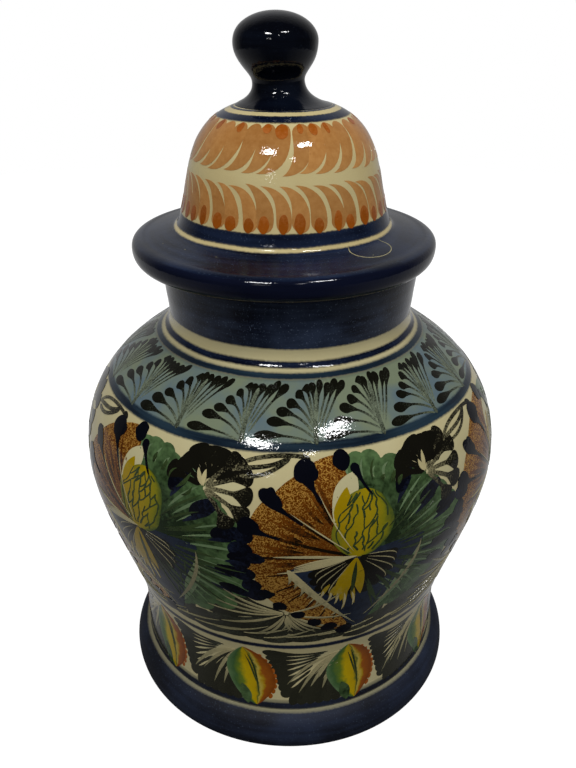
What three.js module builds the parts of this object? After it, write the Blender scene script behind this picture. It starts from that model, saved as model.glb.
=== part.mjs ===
// A tin-glazed earthenware jar with a lift-off domed lid, in millimetres, +Z up.
// The origin is on the ground, under the middle of the foot.

import * as THREE from "three";

const degrees = THREE.MathUtils.degToRad;

// The jar, from the ground up
const footRingWidth = 10.5;
const footRingRecess = 4;
const footHeight = 19;
const footFlare = 7.3;
const footWidestHeight = 7;
const footEdgeRound = 2.8;
const waistRadius = 77.4;
const waistHeight = 44;
const bellyRadius = 98.3;
const bellyHeight = 130;
const neckRadius = 55.5;
const neckRootHeight = 191.6;
const neckRootRound = 4.6;
const neckLength = 27.6;
const rimFlare = 2.4;
const rimEdgeRound = 1.5;
const jarWall = 6;
const jarFloor = 8;
const jarFloorRound = 10;

// The lid's flange, and the collar under it that keeps the lid in the neck
const seatGap = 0.3;
const flangeOverhang = 9.6;
const flangeWidth = 19.8;
const flangeEdge = 11.9;
const flangeWidestHeight = 7.5;
const flangeUndercut = 8;
const flangeTopRound = 6;
const flangeRise = 3.3;
const collarDepth = 12;
const collarWall = 5;
const collarClearance = 3.1;
const collarRestGap = 0.4;

// The lid's dome
const domeHeight = 49.7;
const domeFootRound = 2.6;
const domeWall = 5;

// The knob, thrown by itself and stuck on the dome with slip
const knobFootRadius = 20;
const knobBedGap = 0.3;
const knobNeckRadius = 11.3;
const knobNeckRise = 8.8;
const knobBallRadius = 17.8;
const knobBallRise = 23.8;
const knobHeight = 35.3;
const knobOffset = 0.9;
const knobSway = 2.4;

// The slopes at which stretches of the outline meet
const footTopSlope = degrees(15);
const shoulderSlope = degrees(33.5);
const domeLean = degrees(20);
const domeTopSlope = degrees(18.2);

// How long each bend keeps its first and last direction, as a share of its own rise or run
const footFullness = { low: 0.5, high: 0.6, top: 0.5 };
const bellyFullness = { low: 0.22, high: 0.28 };
const shoulderFullness = { low: 0.57, high: 0.32 };
const domeFullness = { low: 0.36, high: 0.48 };
const knobFootFullness = { low: 1, high: 0.4 };
const ballFullness = { low: 0.25, middle: 0.55, high: 0.6, top: 0.55 };

// How smooth the turned faces are
const jarSides = 40;
const lidSides = 40;
const knobSides = 28;
const sweepSteps = 8;
const bendSteps = 5;
const edgeSteps = 3;

// What follows from the sizes above
const footTopRadius = waistRadius;
const footRadius = waistRadius + footFlare;
const footRingOuter = footRadius - footEdgeRound;
const footRingInner = footRingOuter - footRingWidth;
const floorTop = footRingRecess + jarFloor;
const rimRadius = neckRadius + rimFlare;
const rimHeight = neckRootHeight + neckLength;
const mouthRadius = neckRadius - jarWall;
const collarRadius = mouthRadius - collarClearance;
const collarBore = collarRadius - collarWall;
const lidShift = collarClearance - collarRestGap;
const seatHeight = rimHeight + seatGap;
const flangeRadius = rimRadius + flangeOverhang;
const flangeTopHeight = seatHeight + flangeEdge;
const domeFootRadius = flangeRadius - flangeWidth;
const domeFootHeight = flangeTopHeight + flangeRise;
const domeTopHeight = domeFootHeight + domeHeight;
const knobSeatRadius = knobFootRadius + knobOffset;
const knobSeatHeight = domeTopHeight + knobBedGap;

const point = (radius, height) => new THREE.Vector2(radius, height);
const upwards = (length) => point(0, length);
const outwards = (length) => point(length, 0);
const inwards = (slope, length) => point(-Math.cos(slope) * length, Math.sin(slope) * length);

// An outline is half of a turned piece's section: radius first, then height
class Outline {
  constructor(radius, height) {
    this.points = [point(radius, height)];
  }

  get last() {
    return this.points[this.points.length - 1];
  }

  to(radius, height) {
    this.points.push(point(radius, height));
    return this;
  }

  // A smooth bend to a point, leaving along one arrow and arriving along the other
  bend(leaving, arriving, radius, height, steps) {
    const end = point(radius, height);
    const firstHandle = this.last.clone().add(leaving);
    const lastHandle = end.clone().sub(arriving);
    const curve = new THREE.CubicBezierCurve(this.last, firstHandle, lastHandle, end);
    this.points.push(...curve.getPoints(steps).slice(1));
    return this;
  }

  // A corner rounded off on the way to a point
  round(corner, radius, height) {
    const curve = new THREE.QuadraticBezierCurve(this.last, corner, point(radius, height));
    this.points.push(...curve.getPoints(edgeSteps).slice(1));
    return this;
  }

  follow(points) {
    this.points.push(...points);
    return this;
  }
}

// The same line moved towards the axis by a wall's thickness, square to the line
function inset(points, thickness) {
  return points.map((place, index) => {
    const before = points[Math.max(index - 1, 0)];
    const after = points[Math.min(index + 1, points.length - 1)];
    const along = after.clone().sub(before).normalize();
    return point(place.x - along.y * thickness, place.y + along.x * thickness);
  });
}

// A closed body turned about Z from an outline that starts and ends on the axis
function turned(outline, sides) {
  const geometry = new THREE.LatheGeometry(outline.points, sides);
  geometry.rotateX(Math.PI / 2);
  return geometry;
}

function glazed(name, geometry, color, roughness) {
  const material = new THREE.MeshStandardMaterial({ color, roughness, metalness: 0 });
  const mesh = new THREE.Mesh(geometry, material);
  mesh.name = name;
  return mesh;
}

// The jar's outside from the top of its foot, over belly and shoulder, to the neck's root
function jarSide() {
  const bellyRise = bellyHeight - waistHeight;
  const shoulderRise = neckRootHeight - bellyHeight;
  const neckRoot = point(neckRadius, neckRootHeight);
  const shoulderTop = neckRoot.clone().sub(inwards(shoulderSlope, neckRootRound));
  return new Outline(footTopRadius, footHeight)
    .to(waistRadius, waistHeight)
    .bend(
      upwards(bellyRise * bellyFullness.low),
      upwards(bellyRise * bellyFullness.high),
      bellyRadius,
      bellyHeight,
      sweepSteps,
    )
    .bend(
      upwards(shoulderRise * shoulderFullness.low),
      inwards(shoulderSlope, shoulderRise * shoulderFullness.high),
      shoulderTop.x,
      shoulderTop.y,
      sweepSteps,
    )
    .round(neckRoot, neckRadius, neckRootHeight + neckRootRound)
    .points;
}

function jarBody() {
  const side = jarSide();
  const inside = inset(side, jarWall).slice(1).reverse();
  const insideRadius = waistRadius - jarWall;
  const footRoll = footHeight - footWidestHeight;
  const outline = new Outline(0, footRingRecess)
    .to(footRingInner - footRingRecess, footRingRecess)
    .to(footRingInner, 0)
    .to(footRingOuter, 0)
    .bend(
      outwards(footEdgeRound * footFullness.low),
      upwards(footWidestHeight * footFullness.low),
      footRadius,
      footWidestHeight,
      edgeSteps,
    )
    .bend(
      upwards(footRoll * footFullness.high),
      inwards(footTopSlope, footFlare * footFullness.top),
      footTopRadius,
      footHeight,
      bendSteps,
    )
    .follow(side.slice(1))
    .to(rimRadius, rimHeight - rimEdgeRound)
    .round(point(rimRadius, rimHeight), rimRadius - rimEdgeRound, rimHeight)
    .to(mouthRadius + rimEdgeRound, rimHeight)
    .round(point(mouthRadius, rimHeight), mouthRadius, rimHeight - rimEdgeRound)
    .follow(inside)
    .to(insideRadius, floorTop + jarFloorRound)
    .round(point(insideRadius, floorTop), insideRadius - jarFloorRound, floorTop)
    .to(0, floorTop);
  return turned(outline, jarSides);
}

// The dome's outside, from the flange up to the seat of the knob
function domeSide() {
  const footEdge = domeFootRadius - domeFootRound * Math.tan(domeLean);
  return new Outline(footEdge, domeFootHeight + domeFootRound)
    .bend(
      inwards(Math.PI / 2 - domeLean, domeHeight * domeFullness.low),
      inwards(domeTopSlope, domeHeight * domeFullness.high),
      knobSeatRadius,
      domeTopHeight,
      sweepSteps,
    )
    .points;
}

function lid() {
  const side = domeSide();
  const inside = inset(side, domeWall).reverse();
  const flangeSlope = flangeRise / (flangeWidth - flangeTopRound);
  const outline = new Outline(0, inside[0].y)
    .follow(inside)
    .to(collarBore, flangeTopHeight)
    .to(collarBore, seatHeight - collarDepth)
    .to(collarRadius, seatHeight - collarDepth)
    .to(collarRadius, seatHeight)
    .to(flangeRadius - flangeUndercut, seatHeight)
    .round(point(flangeRadius, seatHeight), flangeRadius, seatHeight + flangeWidestHeight)
    .round(point(flangeRadius, flangeTopHeight), flangeRadius - flangeTopRound, flangeTopHeight)
    .to(domeFootRadius + domeFootRound, domeFootHeight - domeFootRound * flangeSlope)
    .round(point(domeFootRadius, domeFootHeight), side[0].x, side[0].y)
    .follow(side.slice(1))
    .to(0, domeTopHeight);
  return turned(outline, lidSides);
}

// The knob's neck leans over to one side, and its ball stands upright on it
function lidKnob() {
  const ballRise = knobBallRise - knobNeckRise;
  const crownRise = knobHeight - knobBallRise;
  const outline = new Outline(0, knobSeatHeight)
    .to(knobFootRadius, knobSeatHeight)
    .bend(
      inwards(domeTopSlope, knobNeckRise * knobFootFullness.low),
      upwards(knobNeckRise * knobFootFullness.high),
      knobNeckRadius,
      knobSeatHeight + knobNeckRise,
      bendSteps,
    )
    .bend(
      upwards(ballRise * ballFullness.low),
      upwards(ballRise * ballFullness.middle),
      knobBallRadius,
      knobSeatHeight + knobBallRise,
      bendSteps,
    )
    .bend(
      upwards(crownRise * ballFullness.high),
      outwards(-knobBallRadius * ballFullness.top),
      0,
      knobSeatHeight + knobHeight,
      bendSteps,
    );
  const geometry = turned(outline, knobSides);
  const places = geometry.getAttribute("position");
  for (let index = 0; index < places.count; index += 1) {
    const share = (places.getZ(index) - knobSeatHeight) / knobBallRise;
    const sway = knobSway * Math.sin(Math.PI / 2 * THREE.MathUtils.clamp(share, 0, 1));
    places.setX(index, places.getX(index) - knobOffset - sway);
  }
  return geometry;
}

// The lid stands a little to one side, as far as its collar lets it
const lidGroup = new THREE.Group();
lidGroup.position.x = -lidShift;
lidGroup.add(glazed("lid", lid(), 0x1b2236, 0.14));
lidGroup.add(glazed("lid_knob", lidKnob(), 0x0d1120, 0.12));

const jar = new THREE.Group();
jar.add(glazed("jar_body", jarBody(), 0x9a9074, 0.16));
jar.add(lidGroup);

export default jar;
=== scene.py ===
"""A tin-glazed earthenware jar with a domed lid, painted by brush and set on a pale table.

Sizes are in millimetres and angles in degrees. They become metres and radians where a mesh is made.
"""

import logging
import math
from dataclasses import dataclass, field
from enum import Enum
from typing import Callable, Sequence

import bpy
import numpy as np
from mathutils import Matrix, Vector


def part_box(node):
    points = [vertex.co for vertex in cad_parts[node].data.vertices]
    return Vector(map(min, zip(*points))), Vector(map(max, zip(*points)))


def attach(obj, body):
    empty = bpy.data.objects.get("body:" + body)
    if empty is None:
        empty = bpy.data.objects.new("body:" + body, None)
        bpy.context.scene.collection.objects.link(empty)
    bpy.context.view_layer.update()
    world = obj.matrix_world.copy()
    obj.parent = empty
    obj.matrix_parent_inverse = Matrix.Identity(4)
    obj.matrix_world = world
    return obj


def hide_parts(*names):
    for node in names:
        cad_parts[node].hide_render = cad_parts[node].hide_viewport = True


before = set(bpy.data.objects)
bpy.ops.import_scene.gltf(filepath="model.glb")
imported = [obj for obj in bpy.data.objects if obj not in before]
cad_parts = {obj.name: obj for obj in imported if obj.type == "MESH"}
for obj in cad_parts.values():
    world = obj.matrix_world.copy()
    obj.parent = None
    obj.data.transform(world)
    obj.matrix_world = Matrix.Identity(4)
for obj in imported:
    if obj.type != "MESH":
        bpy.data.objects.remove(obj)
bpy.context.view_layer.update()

MM = 0.001
UP = 90.0
TURN = 360.0
BLACK = "#000000"
WHITE = "#ffffff"
LOG = logging.getLogger("jar")

Array = np.ndarray
Piece = bpy.types.Object
Point = Sequence[float]
Socket = bpy.types.NodeSocket
Spans = tuple[tuple[float, float], ...]


def colour(code: str) -> tuple[float, ...]:
    """Turn an sRGB hex colour into the linear colour that a shader reads.

    Args:
        code: a hash mark and six hex digits.

    Returns:
        Linear red, green and blue, and full alpha.
    """
    parts = [int(code[place : place + 2], 16) / 255 for place in (1, 3, 5)]
    linear = [part / 12.92 if part <= 0.04045 else ((part + 0.055) / 1.055) ** 2.4 for part in parts]
    return (*linear, 1.0)


def grey(level: float) -> tuple[float, ...]:
    """Give a linear grey."""
    return (level, level, level, 1.0)


class Nodes:
    """The nodes of one material or of the room, added one by one."""

    def __init__(self, owner: bpy.types.ID, place: str = "Object") -> None:
        """Start with the coordinates alone.

        Args:
            owner: the material or the room.
            place: the coordinates that its patterns follow.
        """
        owner.use_nodes = True
        self.tree = owner.node_tree
        self.tree.nodes.clear()
        self.place = self.add("TexCoord").outputs[place]

    def add(self, kind: str, links: dict | None = None, **settings: object) -> bpy.types.Node:
        """Add a node with its settings and its links.

        Args:
            kind: the node's type, without the words that all types start with.
            links: for each input, by name or number, its value, its hex colour or its source.
            settings: the node's own settings.

        Returns:
            The new node.
        """
        node = self.tree.nodes.new(f"ShaderNode{kind}")
        for name, value in settings.items():
            setattr(node, name, value)
        for name, value in (links or {}).items():
            if isinstance(value, Socket):
                self.tree.links.new(value, node.inputs[name])
            else:
                node.inputs[name].default_value = colour(value) if isinstance(value, str) else value
        return node

    def show(self, surface: Socket, kind: str = "OutputMaterial") -> None:
        """Let a shader be what is seen."""
        self.add(kind, {"Surface": surface})

    def split(self, vector: Socket) -> Sequence[Socket]:
        """Split a vector into its X, Y and Z."""
        return self.add("SeparateXYZ", {"Vector": vector}).outputs

    def stored(self, name: str) -> Socket:
        """Read what the mesh stores at each vertex."""
        return self.add("Attribute", attribute_name=name).outputs["Fac"]

    def maths(self, operation: str, *values: Socket | float, clamp: bool = False) -> Socket:
        """Work out one sum."""
        return self.add("Math", dict(enumerate(values)), operation=operation, use_clamp=clamp).outputs[0]

    def stretch(self, value: Socket, start: float, end: float, low: float, high: float) -> Socket:
        """Turn what lies between start and end into what lies between low and high."""
        links = {"Value": value, "From Min": start, "From Max": end, "To Min": low, "To Max": high}
        return self.add("MapRange", links).outputs["Result"]

    def blend(self, share: float, first: Socket, second: Socket) -> Socket:
        """Mix two patterns."""
        return self.add("Mix", {0: share, 2: first, 3: second}).outputs[0]

    def mix(self, share: Socket, first: object, second: object) -> Socket:
        """Mix two colours, from the first at 0 to the second at 1."""
        return self.add("Mix", {0: share, 6: first, 7: second}, data_type="RGBA").outputs[2]

    def ramp(self, share: Socket, stops: Sequence[tuple[float, str]]) -> Socket:
        """Run through colours.

        Args:
            share: how far along the colours each spot lies.
            stops: places from 0 to 1, in rising order, each with its hex colour.

        Returns:
            The colours.
        """
        node = self.add("ValToRGB", {"Fac": share})
        elements = node.color_ramp.elements
        while len(elements) > 1:
            elements.remove(elements[-1])
        elements[0].position, elements[0].color = stops[0][0], colour(stops[0][1])
        for place, code in stops[1:]:
            elements.new(place).color = colour(code)
        return node.outputs["Color"]

    def fade(self, share: Socket, places: Sequence[float], first: str, last: str) -> Socket:
        """Run from one colour to another between two places."""
        return self.ramp(share, tuple(zip(places, (first, last))))

    def noise(self, spacing: float, detail: float = 2.0, rough: float = 0.5) -> Socket:
        """Add noise whose lumps lie a spacing apart."""
        links = {"Vector": self.place, "Scale": 1 / (spacing * MM), "Detail": detail, "Roughness": rough}
        return self.add("TexNoise", links).outputs["Fac"]

    def wander(self, spacing: float, amount: float, detail: float = 2.0) -> Socket:
        """Add noise that swings about nought by an amount."""
        return self.maths("MULTIPLY_ADD", self.noise(spacing, detail), amount, -amount / 2)

    def bump(self, height: Socket, depth: float, below: dict[str, Socket] | None = None) -> Socket:
        """Raise the surface by a pattern, on top of what is raised below it."""
        links = {"Height": height, "Strength": 1.0, "Distance": depth * MM, **(below or {})}
        return self.add("Bump", links).outputs["Normal"]


def heading(angle: float) -> Array:
    """Give the direction at an angle from the right, as (right, up)."""
    return np.array([math.cos(math.radians(angle)), math.sin(math.radians(angle))])


def inwards(slope: float, length: float) -> Array:
    """Give an arrow in a section that runs towards the axis and rises at a slope."""
    return heading(180 - slope) * length


def curve(path: Sequence[Point], shares: Array) -> tuple[Array, Array]:
    """Work out points and directions on the smooth curve that its control points pull.

    Args:
        path: two or more control points.
        shares: how far along each wanted point lies, from 0 to 1.

    Returns:
        The points, and the directions there.
    """
    rows = [np.zeros((len(shares), 1)) + np.asarray(point, float) for point in path]
    while len(rows) > 1:
        along = rows[1] - rows[0]
        rows = [first + (second - first) * shares[:, None] for first, second in zip(rows, rows[1:])]
    return rows[0], along


def ray(root: Array, angle: float, near: float, far: float, sag: float = 0.0) -> tuple[Array, ...]:
    """Give a path along a direction, bowed a little to one side.

    Args:
        root: where distances are counted from.
        angle: the direction.
        near: where the path starts.
        far: where the path ends.
        sag: how far its middle is pulled to the side.

    Returns:
        The path's three control points.
    """
    way = heading(angle)
    middle = root + way * (near + far) / 2 + heading(angle + UP) * sag
    return (root + way * near, middle, root + way * far)


class Outline:
    """Half of a turned piece's section, as points of radius and height."""

    def __init__(self, radius: float, height: float) -> None:
        """Start the outline at a point."""
        self.points = [np.array([radius, height], float)]

    def to(self, radius: float, height: float, step: float = 2.0) -> None:
        """Go straight to a point.

        Args:
            radius: the point's radius.
            height: the point's height.
            step: how far apart the stops on the way are.
        """
        start, end = self.points[-1], np.array([radius, height], float)
        count = max(1, round(float(np.linalg.norm(end - start)) / step))
        self.points += [start + (end - start) * stop / count for stop in range(1, count + 1)]

    def pull(self, steps: int, *pulls: Point) -> None:
        """Go smoothly to the last of some points, pulled by those before it."""
        self.points += list(curve((self.points[-1], *pulls), np.linspace(0, 1, steps + 1)[1:])[0])

    def bend(self, leaving: Array, arriving: Array, end: Point, steps: int) -> None:
        """Bend smoothly to a point, leaving along one arrow and arriving along the other."""
        self.pull(steps, self.points[-1] + leaving, np.array(end, float) - arriving, end)

    def round(self, corner: Point, end: Point, steps: int = 6) -> None:
        """Round a corner off on the way to a point."""
        self.pull(steps, corner, end)

    def follow(self, points: Sequence[Array]) -> None:
        """Run through points that are already known."""
        self.points += list(points)


def inset(points: Sequence[Array], wall: float) -> list[Array]:
    """Move a line towards the axis by a wall's thickness, square to the line.

    Args:
        points: the line.
        wall: the thickness.

    Returns:
        The moved line.
    """
    along = [after - before for before, after in zip([points[0], *points], [*points[1:], points[-1]])]
    square = [np.array([-way[1], way[0]]) / np.linalg.norm(way) for way in along]
    return [place + wall * way for place, way in zip(points, square)]


@dataclass(frozen=True)
class Hand:
    """The small unevenness that hands and a turning wheel leave in clay."""

    least: float = 0.3
    depth: float = 0.32
    ring_spacing: float = 9.0
    calm_radius: float = 12.0

    def depth_at(self, angle: Array, height: Array) -> Array:
        """Tell how deep the clay is pressed in.

        Args:
            angle: angles round the axis, in radians.
            height: the heights there.

        Returns:
            The depths.
        """
        swell = (
            np.sin(2 * angle + 0.7)
            + 0.8 * np.sin(3 * angle + height / 31 + 2.1)
            + 0.5 * np.sin(5 * angle - height / 23)
            + 0.6 * np.sin(height / self.ring_spacing * 2 * math.pi + angle)
        )
        return self.least + self.depth * (0.5 + swell / 5.8)

    def press(self, points: Array, centre: float) -> Array:
        """Push points towards the axis a little, here more and there less.

        Args:
            points: rows of x, y and z.
            centre: where the axis stands in x.

        Returns:
            The moved points.
        """
        across = points[:, 0] - centre
        pressed = self.depth_at(np.arctan2(across, -points[:, 1]), points[:, 2])
        radius = np.hypot(across, points[:, 1])
        share = 1 - pressed * np.clip(radius / self.calm_radius, 0, 1) / np.maximum(radius, 1)
        return np.stack([centre + across * share, points[:, 1] * share, points[:, 2]], axis=1)


HAND = Hand()


def deselect_all() -> None:
    """Leave edit mode and select nothing."""
    if bpy.context.mode != "OBJECT":
        bpy.ops.object.mode_set(mode="OBJECT")
    bpy.ops.object.select_all(action="DESELECT")


def read_points(piece: Piece) -> Array:
    """Read a piece's vertices.

    Args:
        piece: the piece.

    Returns:
        Rows of x, y and z.
    """
    flat = np.zeros(len(piece.data.vertices) * 3, np.float32)
    piece.data.vertices.foreach_get("co", flat)
    return flat.reshape(-1, 3).astype(float) / MM


def write_points(piece: Piece, points: Array) -> None:
    """Write a piece's vertices, from rows of x, y and z."""
    piece.data.vertices.foreach_set("co", (points * MM).astype(np.float32).ravel())
    piece.data.update()


def store(piece: Piece, name: str, values: Array) -> None:
    """Store a value on each vertex, for the materials to read."""
    held = piece.data.attributes.new(name, "FLOAT", "POINT")
    held.data.foreach_set("value", values.astype(np.float32))


def smooth(piece: Piece, angle: float = 40) -> None:
    """Shade a piece smoothly, but keep its sharper edges.

    Args:
        piece: the piece.
        angle: the least angle of an edge that is kept.
    """
    deselect_all()
    piece.select_set(True)
    bpy.context.view_layer.objects.active = piece
    bpy.ops.object.shade_smooth_by_angle(angle=math.radians(angle))


def turn_on_wheel(name: str, outline: Outline, sides: int, centre: float) -> Piece:
    """Turn an outline about its axis into a closed body, as on a potter's wheel.

    Args:
        name: the piece's name.
        outline: the section, from the axis round to the axis.
        sides: how many steps a full turn takes.
        centre: where the axis stands in x.

    Returns:
        The body, with its place in its mesh.
    """
    deselect_all()
    bpy.ops.mesh.primitive_plane_add(size=MM, location=(0, 0, 0))
    piece = bpy.context.object
    piece.name = name
    piece.data.name = name
    bpy.ops.object.mode_set(mode="EDIT")
    bpy.ops.mesh.merge(type="CENTER")
    first = outline.points[0] * MM
    bpy.ops.transform.translate(value=(centre * MM + first[0], 0, first[1]))
    for start, end in zip(outline.points, outline.points[1:]):
        step = (end - start) * MM
        bpy.ops.mesh.extrude_region_move(TRANSFORM_OT_translate={"value": (step[0], 0, step[1])})
    bpy.ops.mesh.select_all(action="SELECT")
    axis = (centre * MM, 0, 0)
    bpy.ops.mesh.spin(steps=sides, angle=math.radians(TURN), center=axis, axis=(0, 0, 1))
    bpy.ops.mesh.select_all(action="SELECT")
    bpy.ops.mesh.remove_doubles(threshold=0.002 * MM)
    bpy.ops.mesh.normals_make_consistent(inside=False)
    bpy.ops.object.mode_set(mode="OBJECT")
    write_points(piece, HAND.press(read_points(piece), centre))
    return piece


class Skin:
    """The glazed outside of a turned piece, unrolled flat so that it can be painted.

    On the unrolled skin, right is the way round at a fixed radius, and up is the length along
    the outline. Nought to the right faces the front of the jar.
    """

    near_outline = 0.6
    near_last_point = 6.0
    beyond = 12.0
    margin = 14.0

    def __init__(self, points: Sequence[Array], radius: float, centre: float) -> None:
        """Measure the outline.

        Args:
            points: the outside of the section, from low to high.
            radius: the radius at which a step to the right keeps its length.
            centre: where the axis stands in x.
        """
        self.line = np.array(points, float)
        self.radius = radius
        self.centre = centre
        steps = np.linalg.norm(np.diff(self.line, axis=0), axis=1)
        self.reach = np.concatenate([[0], np.cumsum(steps)])
        along = np.gradient(self.line, self.reach, axis=0)
        along /= np.linalg.norm(along, axis=1)[:, None]
        self.outward = np.stack([along[:, 1], -along[:, 0]], axis=1)

    @property
    def whole(self) -> float:
        """Tell how long the outline is, with room for what no band may reach."""
        return float(self.reach[-1]) + self.margin

    def length_at(self, height: float) -> float:
        """Tell how far along the outline a height lies."""
        return float(np.interp(height, self.line[:, 1], self.reach))

    def spans(self, *heights: tuple[float, float]) -> Spans:
        """Turn spans of height into spans of length along the outline."""
        return tuple((self.length_at(low), self.length_at(high)) for low, high in heights)

    def right(self, angle: float) -> float:
        """Tell how far to the right an angle round the axis lies."""
        return math.radians(angle) * self.radius

    def mark(self, piece: Piece) -> None:
        """Store on each vertex how far along the outline it lies, for the painted bands.

        Args:
            piece: the turned piece that this skin belongs to.
        """
        points = read_points(piece)
        across = points[:, 0] - self.centre
        pressed = HAND.depth_at(np.arctan2(across, -points[:, 1]), points[:, 2])
        flat = np.stack([np.hypot(across, points[:, 1]) + pressed, points[:, 2]], axis=1)
        gaps = np.linalg.norm(flat[:, None, :] - self.line[None, :, :], axis=2)
        nearest = gaps.argmin(axis=1)
        near = np.where(nearest == len(self.line) - 1, self.near_last_point, self.near_outline)
        outside = gaps.min(axis=1) < near
        store(piece, "reach", np.where(outside, self.reach[nearest], self.reach[-1] + self.beyond))

    def place(self, flat: Array, lift: Array) -> Array:
        """Put points of the unrolled skin onto the pot.

        Args:
            flat: rows of right and up.
            lift: how far each point stands off the glaze.

        Returns:
            Rows of x, y and z.
        """
        angle = flat[:, 0] / self.radius
        columns = (*self.line.T, *self.outward.T)
        radius, height, out, up = (np.interp(flat[:, 1], self.reach, column) for column in columns)
        sine, cosine = np.sin(angle), np.cos(angle)
        at = np.stack([self.centre + radius * sine, -radius * cosine, height], axis=1)
        outward = np.stack([out * sine, -out * cosine, up], axis=1)
        return HAND.press(at, self.centre) + outward * lift[:, None]


def round_end(share: Array) -> Array:
    """Round a stroke's end off like a quarter circle, from nought to full width."""
    return np.sqrt(np.clip(1 - np.clip(1 - share, 0, 1) ** 2, 0, 1))


class Shape(Enum):
    """How wide a brush stroke is along its way."""

    COMMA = "a round loaded head drawn out to a thin tail"
    DROP = "a nearly round head with a long thin tail"
    BLOB = "the brush pressed down once"
    LINE = "an even line with round ends"
    LEAF = "pointed at both ends"
    FEATHER = "a full body that starts round and ends in a point"
    WEDGE = "a petal, narrow at its root and round at its tip"
    FAN = "a wedge with a nearly straight outer edge"

    def width(self, share: Array) -> Array:
        """Give the stroke's width at each share of its length, where 1 is its widest.

        Args:
            share: places along the stroke, from 0 to 1.

        Returns:
            The widths.
        """
        start = np.clip(share, 1e-4, 1)
        rest = np.clip(1 - share, 1e-4, 1)
        if self in (Shape.COMMA, Shape.DROP):
            comma = self is Shape.COMMA
            head, full, fall = (0.16, 0.16, 0.42) if comma else (0.14, 0.17, 0.26)
            thin, ease = (0.26, 1.5) if comma else (0.22, 1.3)
            tail = thin + (1 - thin) * np.clip(1 - (start - full) / fall, 0, 1) ** ease
            return round_end(start / head) * tail * np.clip(rest / 0.1, 0, 1) ** 0.5
        if self is Shape.BLOB:
            return np.sqrt(np.clip(1 - (2 * share - 1) ** 2, 0, 1))
        if self is Shape.LINE:
            return np.sqrt(np.clip(np.minimum(start, rest) / 0.06, 0, 1))
        if self is Shape.LEAF:
            return np.sin(np.pi * share).clip(0, 1) ** 0.75
        if self is Shape.FEATHER:
            body = np.cos(np.pi / 2 * np.clip((start - 0.15) / 0.85, 0, 1)) ** 1.1
            return round_end(start / 0.13) * body
        end = 0.16 if self is Shape.WEDGE else 0.07
        return (0.07 + 0.93 * start**0.95) * round_end(rest / end)


COMMA, DROP, BLOB, LINE, LEAF, FEATHER, WEDGE, FAN = Shape


@dataclass(frozen=True)
class Stroke:
    """One stroke of the brush on the unrolled skin."""

    path: Sequence[Point]
    width: float
    shape: Shape
    head: float
    tail: float


@dataclass(frozen=True)
class Finish:
    """What a piece is made of or coated with."""

    name: str

    def inputs(self, nodes: Nodes) -> dict[str, object]:
        """Give what feeds the shader."""
        raise NotImplementedError

    def material(self) -> bpy.types.Material:
        """Make the material.

        Returns:
            The material.
        """
        material = bpy.data.materials.new(self.name)
        nodes = Nodes(material)
        nodes.show(nodes.add("BsdfPrincipled", self.inputs(nodes)).outputs["BSDF"])
        return material


@dataclass(frozen=True)
class BareClay(Finish):
    """Earthenware left without glaze where the pot stood in the kiln: dull, sandy and warm, with
    specks of grog about as wide as coarse sand."""

    warm: str = "#9a6d4c"
    pale: str = "#b58c68"
    grog: float = 0.8
    grain: float = 0.06
    roughness: float = 0.85

    def inputs(self, nodes: Nodes) -> dict[str, object]:
        """Give what feeds the shader.

        Args:
            nodes: the material's nodes.

        Returns:
            The shader's inputs.
        """
        sand = nodes.noise(self.grog, 4.0)
        tint = nodes.mix(sand, self.warm, self.pale)
        return {"Base Color": tint, "Roughness": self.roughness, "Normal": nodes.bump(sand, self.grain)}


@dataclass(frozen=True)
class Glazed(Finish):
    """Colour under clear tin glaze. Fired glossy, the glaze gives every painted face its wet
    shine, with soft swells where it ran and the fine dimples of its skin."""

    ior = 1.36
    roughness = 0.07
    swell_spacing = 7.0
    swell_depth = 0.07
    dimple_spacing = 1.1
    dimple_depth = 0.05

    def paint(self, nodes: Nodes) -> Socket:
        """Give the colour under the glaze."""
        raise NotImplementedError

    def dullness(self, nodes: Nodes) -> Socket | float:
        """Give the roughness of the glaze."""
        return self.roughness

    def inputs(self, nodes: Nodes) -> dict[str, object]:
        """Give what feeds the shader.

        Args:
            nodes: the material's nodes.

        Returns:
            The shader's inputs.
        """
        swollen = nodes.bump(nodes.noise(self.swell_spacing), self.swell_depth)
        dimples = nodes.noise(self.dimple_spacing, 1.0)
        return {
            "Base Color": self.paint(nodes),
            "Roughness": self.dullness(nodes),
            "IOR": self.ior,
            "Normal": nodes.bump(dimples, self.dimple_depth, {"Normal": swollen}),
        }


@dataclass(frozen=True)
class BrushPaint(Glazed):
    """Metal-oxide paint laid by a brush on raw glaze. Where the brush was full the colour is
    solid, and where it ran dry the ground shows through in specks."""

    thick: str
    thin: str
    speck: float = 0.55
    contrast: float = 2.4
    opening: float = 0.62
    wander: float = 0.3
    worms: float = 0.0

    def paint(self, nodes: Nodes) -> Socket:
        """Mix the full and the thin colour by how much paint the brush still held.

        Args:
            nodes: the material's nodes.

        Returns:
            The colour.
        """
        specks = nodes.noise(self.speck, 1.0 if self.worms else 2.0, 0.7)
        if self.worms:
            size = nodes.maths("ABSOLUTE", nodes.maths("SUBTRACT", specks, 0.5))
            specks = nodes.maths("MULTIPLY", size, self.worms)
        held = nodes.maths("ADD", nodes.stored("load"), nodes.wander(self.speck * 9, self.wander))
        raised = nodes.maths("ADD", specks, held)
        lowered = 0.5 - self.contrast * (0.5 + self.opening)
        cover = nodes.maths("MULTIPLY_ADD", raised, self.contrast, lowered, clamp=True)
        shaded = {"Color": nodes.mix(cover, self.thin, self.thick), "Value": nodes.stored("shade")}
        return nodes.add("HueSaturation", shaded).outputs["Color"]


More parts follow.
